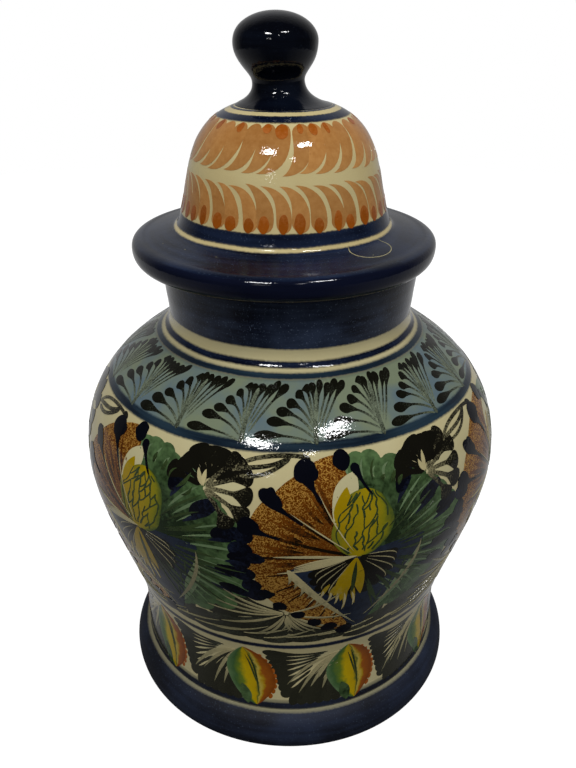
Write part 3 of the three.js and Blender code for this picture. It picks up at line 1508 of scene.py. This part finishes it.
@dataclass
class ShoulderFans(Painter):
    """A band of speckled black fans round the shoulder, on a pale wash."""

    radius: float = 77.0
    seed: int = 21
    plan: tuple[tuple, ...] = (("shoulder_fans", MANGANESE, 0.06, 18, 4, 22),)
    count: int = 18
    first: float = 6.6
    low: float = 169.6
    high: float = 187.0
    stack: int = 6
    hanging: int = 5

    def paint(self) -> None:
        """Paint the fans, each with a rib, a stack of commas and some that hang from the top."""
        for fan in range(self.count):
            pitch = self.skin.right(TURN / self.count)
            at = self.skin.right(self.first) + pitch * (fan + self.draw(-0.04, 0.04))
            low = self.skin.length_at(self.low)
            self.paint_fan(at, low, self.skin.length_at(self.high) - low, pitch)

    def paint_fan(self, at: float, low: float, tall: float, pitch: float) -> None:
        """Paint one fan.

        Args:
            at: how far to the right its rib stands.
            low: how far up its rib starts.
            tall: how tall it is.
            pitch: how far it stands from the next fan.
        """
        draw, lay, top = self.draw, self.lay, low + tall
        rib = ((at, low), (at - 0.4, low + tall * 0.4), (at + pitch * 0.12, top - 4))
        lay("shoulder_fans", rib, 1.8, LINE, 0.62, 0.5)
        for share in np.linspace(0, 1, self.stack):
            aside = at - pitch * (0.86 - 0.76 * share) + draw(-0.5, 0.5)
            head = (aside, low + tall * (0.12 + 0.8 * share**0.85) + draw(-0.6, 0.6))
            tail = (at - 0.9 + 0.2 * share, low + 0.6 + tall * 0.36 * share)
            bow = (
                head[0] * 0.34 + tail[0] * 0.66 + 1.2 * share,
                head[1] * 0.8 + tail[1] * 0.2 + 0.6 + 1.6 * (1 - share),
            )
            lay("shoulder_fans", (head, bow, tail), draw(3.9, 4.9), DROP, 1.0, 0.46)
        for share in np.linspace(0, 1, self.hanging):
            head = (at + pitch * (0.05 + 0.6 * share) + draw(-0.6, 0.6), top - draw(0, 2.4))
            tail = (at + 0.6 + 1.4 * share, low + tall * (0.4 - 0.24 * share))
            bow = (head[0] * 0.5 + tail[0] * 0.5 - 0.4, low + tall * 0.68)
            lay("shoulder_fans", (head, bow, tail), draw(3.1, 4.1), DROP, 1.0, 0.46)


@dataclass
class BellyGarden(Painter):
    """Six big flowers round the belly, with dark carnations between them and palmettes below."""

    radius: float = 92.0
    seed: int = 41
    plan: tuple[tuple, ...] = (
        ("shade", SHADE_BLACK, 0.03, 18, 5, 31),
        ("green", COPPER, 0.05, 20, 8, 32),
        ("ochre", OCHRE, 0.07, 20, 10, 33),
        ("umber", UMBER, 0.09, 14, 3, 34),
        ("pale", PALE_STREAK, 0.11, 16, 8, 35),
        ("field", COBALT_FIELD, 0.125, 32, 32, 36),
        ("heart", HEART, 0.13, 20, 14, 37),
        ("drip", NAVY, 0.145, 14, 6, 38),
        ("black", MANGANESE_ON_CREAM, 0.165, 18, 6, 39),
        ("yellow", YELLOW, 0.19, 16, 5, 40),
        ("vein", VEIN, 0.21, 14, 2, 41),
        ("cream", CREAM_LINE, 0.23, 14, 2, 42),
        ("navy", NAVY, 0.255, 16, 8, 43),
    )
    prefix: str = "belly_"
    first: float = 15.8
    root_height: float = 124.7
    strays: tuple[float, ...] = (0.0, -1.0, 1.2, -0.6, 0.8, 3.0)
    palmette_at: tuple[float, float] = (-27.0, -36.0)
    carnation_at: tuple[float, float] = (36.0, 28.5)
    field_foot: tuple[float, float] = (7.5, -52.0)
    petal_edges: tuple[float, ...] = (96, 117, 140, 159, 177, 194, 211, 225, 239, 252, 262, 271)
    petal_reach: tuple[float, ...] = (42, 43, 43, 44, 41, 40, 41, 42, 43, 46, 49, 53)
    petal_tips: Spans = ((8.5, 6.8), (9.5, 9.4), (11.0, 6.0), (8.5, 7.4))
    slit_and_highlight_edges: tuple[int, ...] = (1, 2, 4, 5, 8)
    green_tips: Spans = ((54, 38), (31, 40), (14, 45), (0, 50), (-12, 45), (-26, 49))
    tassel: tuple[tuple[float, ...], ...] = ((-107, 25, 4.8), (-98, 29, 4.4), (-80, 26, 4.6))
    frayed: tuple[float, ...] = (-122, -113, -105, -97, -89)
    field_corners: Spans = ((-25.5, -6.5), (28.5, -4.0))
    fringe: tuple[float, ...] = (0.03, 0.1, 0.18, 0.27, 0.38, 0.5, 0.64)
    lobes: Spans = ((44, 17), (20, 18), (-6, 17), (-30, 18), (-54, 16))
    slits: tuple[float, ...] = (112, 88)
    heart_lines: int = 7
    blades: int = 16
    low_blades: int = 7
    tendrils: tuple[Spans, ...] = (
        ((-48.5, 37.0), (-44.5, 44.8), (-33.0, 44.0), (-24.0, 45.8), (-17.6, 42.8)),
        ((-47.5, 38.0), (-39.5, 40.2), (-33.0, 39.0), (-25.0, 44.6)),
        ((-45.5, 36.2), (-37.5, 35.6), (-32.0, 38.0), (-25.5, 43.8)),
    )

    def paint(self) -> None:
        """Paint each flower from its root, and what grows round it."""
        for flower, stray in enumerate(self.strays):
            angle = self.first + TURN / len(self.strays) * flower + stray
            self.root = np.array([self.skin.right(angle), self.skin.length_at(self.root_height)])
            self.paint_palmette()
            self.paint_green()
            self.paint_petals()
            self.paint_petal_edges()
            self.paint_field()
            self.paint_tassel()
            self.paint_field_edges()
            self.paint_heart()
            self.paint_carnation()
            self.paint_tendrils()
            self.paint_grass()

    def path(self, *stops: Point) -> list[Array]:
        """Give a path whose stops are told from the flower's root."""
        return [self.root + stop for stop in stops]

    def paint_petals(self) -> None:
        """Fan ochre petals out to the left of the root, with dark streaks on each."""
        root, lay, draw = self.root, self.lay, self.draw
        edges, reach = self.petal_edges, self.petal_reach
        for index, (start, end) in enumerate(zip(edges, edges[1:])):
            upper = index < 5
            length = (reach[index] + reach[index + 1]) / 2 + draw(0.5, 2.5)
            wide = 2 * length * math.tan(math.radians((end - start) / 2)) * 1.16
            held = 0.85 if upper else 0.62
            lay("ochre", ray(root, (start + end) / 2, 1.5, length), wide, FAN, held, held - 0.35)
            for share in (0.2, 0.5, 0.8):
                angle = start + (end - start) * share + draw(-1, 1)
                near = length * draw(0.35, 0.55)
                streak = ray(root, angle, near, length * draw(0.68, 0.9), draw(-1.6, 1.6))
                lay("umber", streak, draw(1.0, 2.3) * (1.0 if upper else 0.55), LEAF, 0.7, 0.3)

    def paint_petal_edges(self) -> None:
        """Draw lines between the petals, blobs at their tips and drips beside them."""
        root, lay, draw = self.root, self.lay, self.draw
        for index, (edge, length) in enumerate(zip(self.petal_edges, self.petal_reach)):
            upper = index < 4
            if index > 0:
                sway = draw(-1.8, 1.8)
                near = 3 if index < 6 else 24
                line = ray(root, edge + 0.8, near, length * 0.9, sway)
                lay("umber", line, 1.5 if index < 5 else 0.9, LINE, 0.9, 0.6)
                # The thin cream line beside a dark petal line is partly painted highlight, the light on
                # its raised edge
                if index in self.slit_and_highlight_edges:
                    line = ray(root, edge - 0.8, near, length * 0.78, sway)
                    lay("cream", line, 1.2 if index in (4, 5) else 0.5, LEAF, 1.0, 0.7)
            if 4 <= index <= 5:
                continue
            size = self.petal_tips[index][0] if upper else draw(5.0, 6.6)
            wide = self.petal_tips[index][1] if upper else size * 1.25
            tip = ray(root, edge, length - size * 0.5, length + size * 0.5)
            lay("navy", tip, wide, BLOB, 1.1, 0.9)
            for _ in range(2 if upper else 1):
                lump = tip[1] + heading(draw(0, TURN)) * wide * 0.24
                rise = np.array([0, size * 0.3])
                lay("navy", (lump - rise, lump + rise), wide * 0.7, BLOB, 1.1, 0.9)
            if upper and index:
                tail = ray(root, edge + 0.8, length - size * 0.2, length - size * 1.5, 0.4)
                lay("navy", tail, wide * 0.5, COMMA, 1.0, 0.8)
        for angle in range(164, 214, 9):
            drop = ray(root, angle, 40 + draw(-1, 1), 49 + draw(-2, 2), 1.5)
            lay("drip", drop, draw(7.0, 8.5), BLOB, 0.9, 0.5)

    def paint_green(self) -> None:
        """Wash green leaves in to the right of the root, with dark veins and blobs at their tips."""
        root, lay, draw = self.root, self.lay, self.draw
        for angle in range(87, -79, -8):
            low = angle < 45
            length = 43 if angle > 25 else 54 - 6 * abs(angle + 20) / 45
            length += draw(-2.5, 3.5)
            wide, sway, held = draw(11.0, 16.0), draw(0.5, 4.0), draw(0.7, 1.2)
            lay("green", ray(root, angle, 4, length, sway), wide, WEDGE, held, 0.35)
            near = draw(15, 20) if low else 33
            far = length * draw(0.7, 0.92)
            vein = ray(root, angle + draw(-3, 3), near, far, draw(-2.5, 2.5))
            lay("vein", vein, draw(0.9, 1.9), LEAF, 0.5, 0.2)
            gap = ray(root, angle + 5, 24 if low else 34, length * 0.92, sway)
            lay("pale", gap, draw(0.7, 1.4), LEAF, 0.5, 0.3)
        for angle, length in self.green_tips:
            tip = ray(root, angle, length - 8, length + draw(4.5, 7.0), 1.6)
            lay("drip", tip, draw(5.6, 7.6), BLOB, 1.0, 0.6)
            lay("drip", ray(root, angle - 4, length, length - draw(8, 14), 1.5), 2.2, LEAF, 0.7, 0.4)

    def paint_field(self) -> None:
        """Lay the dark wedge under the root, with a black fan and fine cream lines on it."""
        root, lay, draw = self.root, self.lay, self.draw
        lay("field", self.path(self.field_foot, (1.0, 1.5)), 60, FAN, 0.5, 0.5)
        for angle in range(-166, -8, 13):
            length = 16 + 10 * math.sin(math.radians(-angle)) + draw(-1.0, 1.0)
            lay("black", ray(root, angle, 2.0, length), length * 0.25, WEDGE, 1.3, 1.2)
            if not -118 < angle < -60:
                way = heading(angle + 6.5)
                turn = heading(angle - 75 if angle > -90 else angle + 88)
                end = root + way * length * 0.94
                lay("cream", (root + way * 5, end, end + turn * 3.4), 0.5, LEAF, 0.55, 0.6)

    def paint_tassel(self) -> None:
        """Hang a yellow tassel from the root, frayed at its end."""
        root, lay = self.root, self.lay
        for angle, length, width in self.tassel:
            lay("yellow", ray(root, angle, 1, length, self.draw(-0.6, 0.6)), width, LEAF, 1.0, 0.8)
        lay("vein", ray(root, -89, 3, 24), 2.0, LEAF, 0.5, 0.4)
        for angle in self.frayed:
            way = heading(angle)
            near = root + way * 22
            tip = root + heading(angle + 4) * (27 + 8 * math.exp(-(((angle + 95) / 10) ** 2)))
            lay("yellow", (near - way * 4, near, tip), 1.9, LEAF, 0.7, 0.4)
            middle = (near + tip) / 2 + [0.9, 0]
            lay("cream", (near + way, middle, tip - [0.8, 1.0]), 1.0, LEAF, 1.1, 1.0)

    def paint_field_edges(self) -> None:
        """Edge the dark wedge with cream on its left and with a pale leaf on its right."""
        lay = self.lay
        low, left, right = self.path(self.field_foot, *self.field_corners)
        slope = (left + [-1.0, 1.5], (left + low) / 2 + [-4.0, 1.0], low + [-1, 2])
        lay("cream", slope, 3.4, FEATHER, 1.0, 0.5)
        for fall, width in ((1.6, 1.0), (-0.6, 1.6), (-2.6, 1.1)):
            sweep = (self.root, self.root + [-13.0, fall], left + [1.5, 2.5 + fall * 0.4])
            lay("cream", sweep, width, LEAF, 1.0, 0.8)
        for share in self.fringe:
            foot = left + (low - left) * share + [-1.2 + share, 0]
            long = self.draw(5.5, 8.5) * (1.15 - share)
            fringe = (foot, foot + [0.9, -long / 2], foot + [-0.6 - 2.5 * share, -long])
            lay("cream", fringe, 1.6, FEATHER, 0.8, 0.3)
        leaf = (low + [0, 4], right + [-2.0, -16.0], right + [-1.0, 1.0])
        lay("pale", leaf, 8.5, LEAF, 0.35, 0.75)
        rim = (low + [2.0, 8], right + [1.6, -15.0], right + [0.4, 3.0])
        lay("cream", rim, 1.8, LEAF, 0.2, 0.5)
        for share in (0.25, 0.45, 0.65):
            foot = low + (right - low) * share + [0.5, 2.0]
            lay("vein", (foot, foot + [0.2, 6.0], foot + [1.8, 11.0]), 0.8, LEAF, 0.5, 0.3)

    def paint_heart(self) -> None:
        """Paint the yellow heart above the root, scaled with dark veins like an artichoke."""
        lay, draw = self.lay, self.draw
        lay("pale", self.path((-8.0, 14.0), (-5.0, 30.0), (0.5, 36.5)), 9.5, LEAF, 1.6, 1.6)
        lay("yellow", self.path((-5.0, 12.0), (-6.8, 21.0), (-3.5, 31.0)), 7.0, LEAF, 0.9, 1.0)
        lay("heart", self.path((0.0, -0.5), (3.0, 14.0), (3.6, 29.5)), 24.5, BLOB)
        middle = (self.heart_lines - 1) / 2
        net = [self.heart_line((column - middle) / 3.3) for column in range(self.heart_lines)]
        for line, beside in zip(net, net[1:] + [[]]):
            for row in range(len(line) - 1):
                if draw(0, 1) < 0.85:
                    bow = (line[row] + line[row + 1]) / 2 + [draw(-1.5, 1.5), 0]
                    lay("vein", (line[row], bow, line[row + 1]), draw(0.45, 0.9), LINE, 0.45, 0.25)
                if beside and draw(0, 1) < 0.4:
                    bow = (line[row] + beside[row + 1]) / 2 + [0.6, draw(-1.0, 0.4)]
                    lay("vein", (line[row], bow, beside[row + 1]), 0.6, LINE, 0.4, 0.3)
        lay("navy", self.path((0.0, 40.0), (2.0, 33.0), (6.5, 26.5)), 4.0, COMMA, 1.0, 0.9)

    def heart_line(self, side: float) -> list[Array]:
        """Give the stops of one wavering line up the heart.

        Args:
            side: where the line runs, from the heart's left (-1) to its right (1).

        Returns:
            The stops.
        """
        stops = []
        for up in np.linspace(2.0, 27.5, 8):
            half = 10.8 * math.sqrt(1 - ((up - 14.5) / 15) ** 2)
            aside = 1.0 + 0.08 * up + side * half
            stops.append(self.root + [aside + self.draw(-0.9, 0.9), up + self.draw(-0.9, 0.9)])
        return stops

    def paint_carnation(self) -> None:
        """Paint a dark carnation of round lobes, with slits of the cream ground between them."""
        root, lay, draw = self.root + self.carnation_at, self.lay, self.draw
        for angle in range(165, 40, -15):
            length = 16.5 + 4.0 * max(0.0, -math.cos(math.radians(angle))) + draw(-1.5, 1.5)
            lobe = ray(root, angle, length, length * 0.25, 0.8)
            lay("black", lobe, draw(8.2, 10.0), COMMA, draw(0.8, 1.2), 0.9)
        lay("pale", ray(root, 0, -4.0, 12.5, 1.0), 15.0, WEDGE, 1.6, 1.5)
        for angle, length in self.lobes:
            lobe = ray(root + [-4.0, 0.5], angle, length + 3.0, 1.0, 1.4)
            lay("black", lobe, draw(7.4, 8.6), DROP, 0.85, 0.5)
        for angle in self.slits:
            slit = ray(root + [-4.0, 0.0], angle, 1.0, draw(7.0, 10.0), 0.8)
            lay("cream", slit, draw(1.4, 2.2), LEAF, 1.2, 0.9)

    def paint_tendrils(self) -> None:
        """Draw thin wavy tendrils that part and meet again under the shoulder's line."""
        for line in self.tendrils:
            path = [self.root + stop + self.draw(-0.5, 0.5, 2) for stop in line]
            self.lay("black", path, self.draw(1.3, 1.8), LINE, 0.6, 0.75)
        self.lay("black", self.path((-17.2, 42.6), (-21.0, 44.6)), 2.3, BLOB, 0.9, 0.9)

    def paint_grass(self) -> None:
        """Sweep long dark blades along the ring under the garden, with pale gaps between."""
        root, lay, draw = self.root, self.lay, self.draw
        for index in range(self.blades):
            at = root + [-54.0 + 6.0 * index, draw(-55, -50)]
            blade = (at, at + [7, 3], at + [14, draw(8, 14)])
            lay("shade", blade, draw(9.0, 12.0), LEAF, 0.95, 0.7)
        for index in range(self.low_blades):
            at = root + [-40.0 + 13.5 * index + draw(-2, 2), -60.0 + draw(0, 2.5)]
            long, rise = draw(24, 32), draw(3.0, 9.0)
            blade = (at, at + [long * 0.5, 0.5], at + [long, rise])
            lay("shade", blade, draw(5.0, 7.0), LEAF, 0.9, 0.6)
            gap = (at + [1, 2.6], at + [long * 0.5, 3.2], at + [long, rise + 2.6])
            lay("cream", gap, draw(0.7, 1.1), LEAF, 0.6, 0.3)

    def paint_palmette(self) -> None:
        """Fan dark leaves out below the flower, with pale lines between them."""
        root, lay, draw = self.root + self.palmette_at, self.lay, self.draw
        for angle in range(146, 396, 10):
            length = 16 + 24 * math.cos(math.radians(angle)) ** 2 + draw(-1, 1)
            bend = 3.5 if angle < 270 else -3.5
            lay("shade", ray(root, angle, length, 1, bend), draw(7.0, 9.0), COMMA, 0.95, 0.85)
            if draw(0, 1) < 0.7:
                line = ray(root, angle + 5, 1.5, length * draw(0.7, 0.95), bend)
                lay("cream", line, draw(0.8, 1.5), LEAF, 0.9, 0.3)


@dataclass
class FootBand(Painter):
    """Ten almond buds round the waist, with dark plumes between them."""

    radius: float = 77.4
    seed: int = 51
    plan: tuple[tuple, ...] = (
        ("plumes", SHADE_BLACK, 0.05, 14, 4, 52),
        ("scallops", IRON_HEAD, 0.09, 10, 3, 56),
        ("flashes", CREAM_LINE, 0.085, 14, 3, 57),
        ("buds", BUD, 0.12, 24, 14, 53),
        ("drips", COPPER, 0.15, 12, 4, 54),
        ("veins", VEIN, 0.18, 12, 2, 55),
    )
    prefix: str = "foot_"
    count: int = 10
    first: float = -14.0
    low: float = 22.8
    high: float = 58.8

    def paint(self) -> None:
        """Paint each bud, and the plume on its left."""
        low, pitch = self.skin.length_at(self.low), self.skin.right(TURN / self.count)
        self.tall = self.skin.length_at(self.high) - low
        for index in range(self.count):
            self.at = np.array([self.skin.right(self.first) + pitch * index, low])
            self.at[0] += self.draw(-0.8, 0.8) if index else 0
            self.paint_bud()
            self.paint_plume()

    def paint_bud(self) -> None:
        """Paint one almond bud, with a scalloped right edge and a green drip at its foot."""
        lay, tall = self.lay, self.tall
        top, foot = self.at + [-2.5, tall], self.at + [3.0, -1.8]
        middle = (top + foot) / 2
        lay("buds", (top, middle, foot), 23.5, LEAF)
        for step in range(9):
            share = 0.14 + 0.085 * step
            edge = top + (foot - top) * share + [10.4 * math.sin(math.pi * share) ** 0.75, 0]
            lay("scallops", (edge, edge + [2.2, -0.3]), 3.2, BLOB)
        long = (top + [1.5, -4], middle + [3.4, 3], foot + [1.0, tall * 0.2])
        lay("veins", long, 1.0, LEAF, 0.5, 0.3)
        short = (top + [0.5, -6], middle + [1.2, 3], middle + [2.6, -4])
        lay("veins", short, 0.9, LEAF, 0.5, 0.3)
        drip = foot + [-4.2, 5.0]
        path = (drip + [-3.0, 7.5], drip + [-0.8, 1], drip + [0.0, -5.0])
        lay("drips", path, 5.5, LEAF, 0.45, 0.45)

    def paint_plume(self) -> None:
        """Paint the plume that sweeps left and down from a bud's top: a comb, lobes and flashes."""
        lay, draw, tall = self.lay, self.draw, self.tall
        root = self.at + [-4.5, tall * 0.93]
        for step in range(8):
            head = root + [-37.0 + 1.2 * step, 1.0 - 4.2 * step]
            tail = head + (root - head) * (0.8 - 0.05 * step)
            bow = (head + tail) / 2 + [0.5, -1.8]
            lay("plumes", (head, bow, tail), draw(5.2, 6.2), COMMA, 1.05, 0.7)
        for step in range(6):
            head = root + [-24.0 + 4.4 * step, -0.6 - tall * 0.93]
            bow = root + [-15.0 + 2.2 * step, -tall * (0.3 + 0.05 * step)]
            tail = root + [0.5, -0.8 * step]
            lay("plumes", (head, bow, tail), draw(6.0, 7.0), COMMA, 1.1, 0.8)
        for step in range(5):
            tip = root + [-26.0 + 5.6 * step, -tall * draw(0.55, 0.8)]
            bow = root + [-14.0 + 2.6 * step, -tall * (0.1 + 0.08 * step)]
            lay("flashes", (root + [-1.0, -1.0], bow, tip), draw(1.2, 2.2), LEAF, 1.0, 0.3)


@dataclass(frozen=True)
class Lamp:
    """One studio lamp, placed by its direction from the jar. Its sizes are in metres."""

    name: str
    azimuth: float
    elevation: float
    distance: float
    width: float
    height: float
    radiance: float

    def build(self, aim: Array) -> Piece:
        """Hang the lamp and turn it to the jar.

        Args:
            aim: the point that it faces, in metres.

        Returns:
            The lamp.
        """
        turned, raised = math.radians(self.azimuth), math.radians(self.elevation)
        aside, nearer = math.sin(turned) * math.cos(raised), -math.cos(turned) * math.cos(raised)
        data = bpy.data.lights.new(self.name, "AREA")
        data.shape = "RECTANGLE"
        data.size = self.width
        data.size_y = self.height
        data.energy = self.radiance * math.pi * self.width * self.height
        lamp = bpy.data.objects.new(self.name, data)
        bpy.context.scene.collection.objects.link(lamp)
        lamp.location = aim + np.array([aside, nearer, math.sin(raised)]) * self.distance
        lamp.rotation_euler = (math.radians(UP) - raised, 0, turned)
        return lamp


@dataclass
class Studio:
    """A pale table, soft light from above and in front, and the camera of the photograph."""

    image_height_px: float = 768.0
    image_centre_px: float = 288.0
    axis_px: float = 289.9
    focal_px: float = 807.4
    camera_distance: float = 351.7
    camera_height: float = 330.75
    camera_pitch: float = 26.63
    sensor: float = 36.0
    aim: tuple[float, float, float] = (0.0, 0.0, 0.17)
    table_radius: float = 1.3
    table_glow: float = 0.9
    table_grey: float = 0.26
    table_shade_in_glaze: float = 0.03
    shade_narrow: float = 28.0
    shade_wide: float = 138.0
    room_low: float = 0.1
    room_high: float = 0.75
    front_shade_in_glaze: float = 0.04
    mirrored_table: float = 0.5
    mirrored_back: float = 0.4
    back_from: float = 0.2
    back_to: float = 0.8
    lamps: tuple[Lamp, ...] = (
        Lamp("window_left", -22, 50.5, 1.5, 0.32, 0.14, 66),
        Lamp("window_right", 39, 57, 1.5, 0.34, 0.10, 76),
        Lamp("window_middle", 13, 42, 1.6, 0.12, 0.06, 40),
        Lamp("window_low", -16, 25, 1.6, 0.26, 0.04, 16),
    )

    def build(self) -> None:
        """Set the table, the room, the lamps and the camera."""
        self.set_table()
        self.set_room()
        for lamp in self.lamps:
            lamp.build(np.array(self.aim))
        self.set_camera()

    def set_table(self) -> None:
        """Lay the pale table that the jar stands on, white to the eye except in shadow.

        Seen in the glaze, the table carries painted shade: its grey is near black, and its glow darkens
        towards the side where the photographer stands.
        """
        deselect_all()
        bpy.ops.mesh.primitive_circle_add(
            vertices=96, radius=self.table_radius, fill_type="NGON", location=(0, 0, 0)
        )
        table = bpy.context.object
        table.name = "table"
        material = bpy.data.materials.new("white_table")
        nodes = Nodes(material)
        light = nodes.add("LightPath").outputs
        split = nodes.split(nodes.place)
        nearer = nodes.maths("MULTIPLY", split["Y"], -1.0)
        turned = nodes.maths("ARCTAN2", nodes.maths("ABSOLUTE", split["X"]), nearer)
        narrow, wide = math.radians(self.shade_narrow), math.radians(self.shade_wide)
        # Painted shade in the glaze, darker towards the camera's side
        lit = nodes.stretch(turned, narrow, wide, 0.0, self.mirrored_table)
        mirrored = nodes.maths("MULTIPLY", light["Is Glossy Ray"], lit)
        seen = nodes.maths("MAXIMUM", light["Is Camera Ray"], light["Is Transmission Ray"])
        strength = nodes.maths("MULTIPLY", nodes.maths("MAXIMUM", seen, mirrored), self.table_glow)
        glow = nodes.add("Emission", {"Color": WHITE, "Strength": strength}).outputs[0]
        # Painted shade: in the glaze the table's grey is near black
        tint = nodes.mix(light["Is Glossy Ray"], grey(self.table_grey), grey(self.table_shade_in_glaze))
        matt = nodes.add("BsdfDiffuse", {"Color": tint}).outputs[0]
        nodes.show(nodes.add("AddShader", {0: matt, 1: glow}).outputs[0])
        table.data.materials.append(material)

    def set_room(self) -> None:
        """Make the room: white to the camera, and a soft even light on the jar. Seen in the glaze, it is
        painted dark in front, as painted shade, and pale behind.
        """
        world = bpy.data.worlds.new("room")
        bpy.context.scene.world = world
        nodes = Nodes(world, "Generated")
        light = nodes.add("LightPath").outputs
        seen = nodes.maths("MAXIMUM", light["Is Camera Ray"], light["Is Transmission Ray"])
        split = nodes.split(nodes.place)
        high = nodes.stretch(split["Z"], 0.0, 1.0, self.room_low, self.room_high)
        # Painted shade: in the glaze the room is dark in front and paler behind
        levels = (self.front_shade_in_glaze, self.mirrored_back)
        behind = nodes.stretch(split["Y"], self.back_from, self.back_to, *levels)
        soft = nodes.mix(light["Is Glossy Ray"], high, behind)
        level = nodes.mix(seen, soft, WHITE)
        sky = nodes.add("Background", {"Color": level, "Strength": 1.0}).outputs[0]
        nodes.show(sky, "OutputWorld")

    def set_camera(self) -> None:
        """Put the camera where the photograph was taken."""
        data = bpy.data.cameras.new("camera")
        data.sensor_width = self.sensor
        data.lens = self.sensor * self.focal_px / self.image_height_px
        camera = bpy.data.objects.new("camera", data)
        bpy.context.scene.collection.objects.link(camera)
        depth = self.camera_distance / math.cos(math.radians(self.camera_pitch))
        aside = (self.axis_px - self.image_centre_px) * depth / self.focal_px
        camera.location = (-aside * MM, -self.camera_distance * MM, self.camera_height * MM)
        camera.rotation_euler = (math.radians(UP - self.camera_pitch), 0, 0)
        bpy.context.scene.camera = camera
        bpy.context.scene.view_settings.view_transform = "Standard"


def main() -> None:
    """Build the jar, its lid, the painting and the studio."""
    logging.basicConfig(level=logging.INFO, format="%(name)s %(message)s")
    jar = JarBody()
    lid = Lid()
    jar.build()
    lid.build()
    lid.build_knob()
    for painter in (DomeFeathers(lid), ShoulderFans(jar), BellyGarden(jar), FootBand(jar)):
        painter.build()
    Studio().build()


if __name__ == "__main__":
    main()
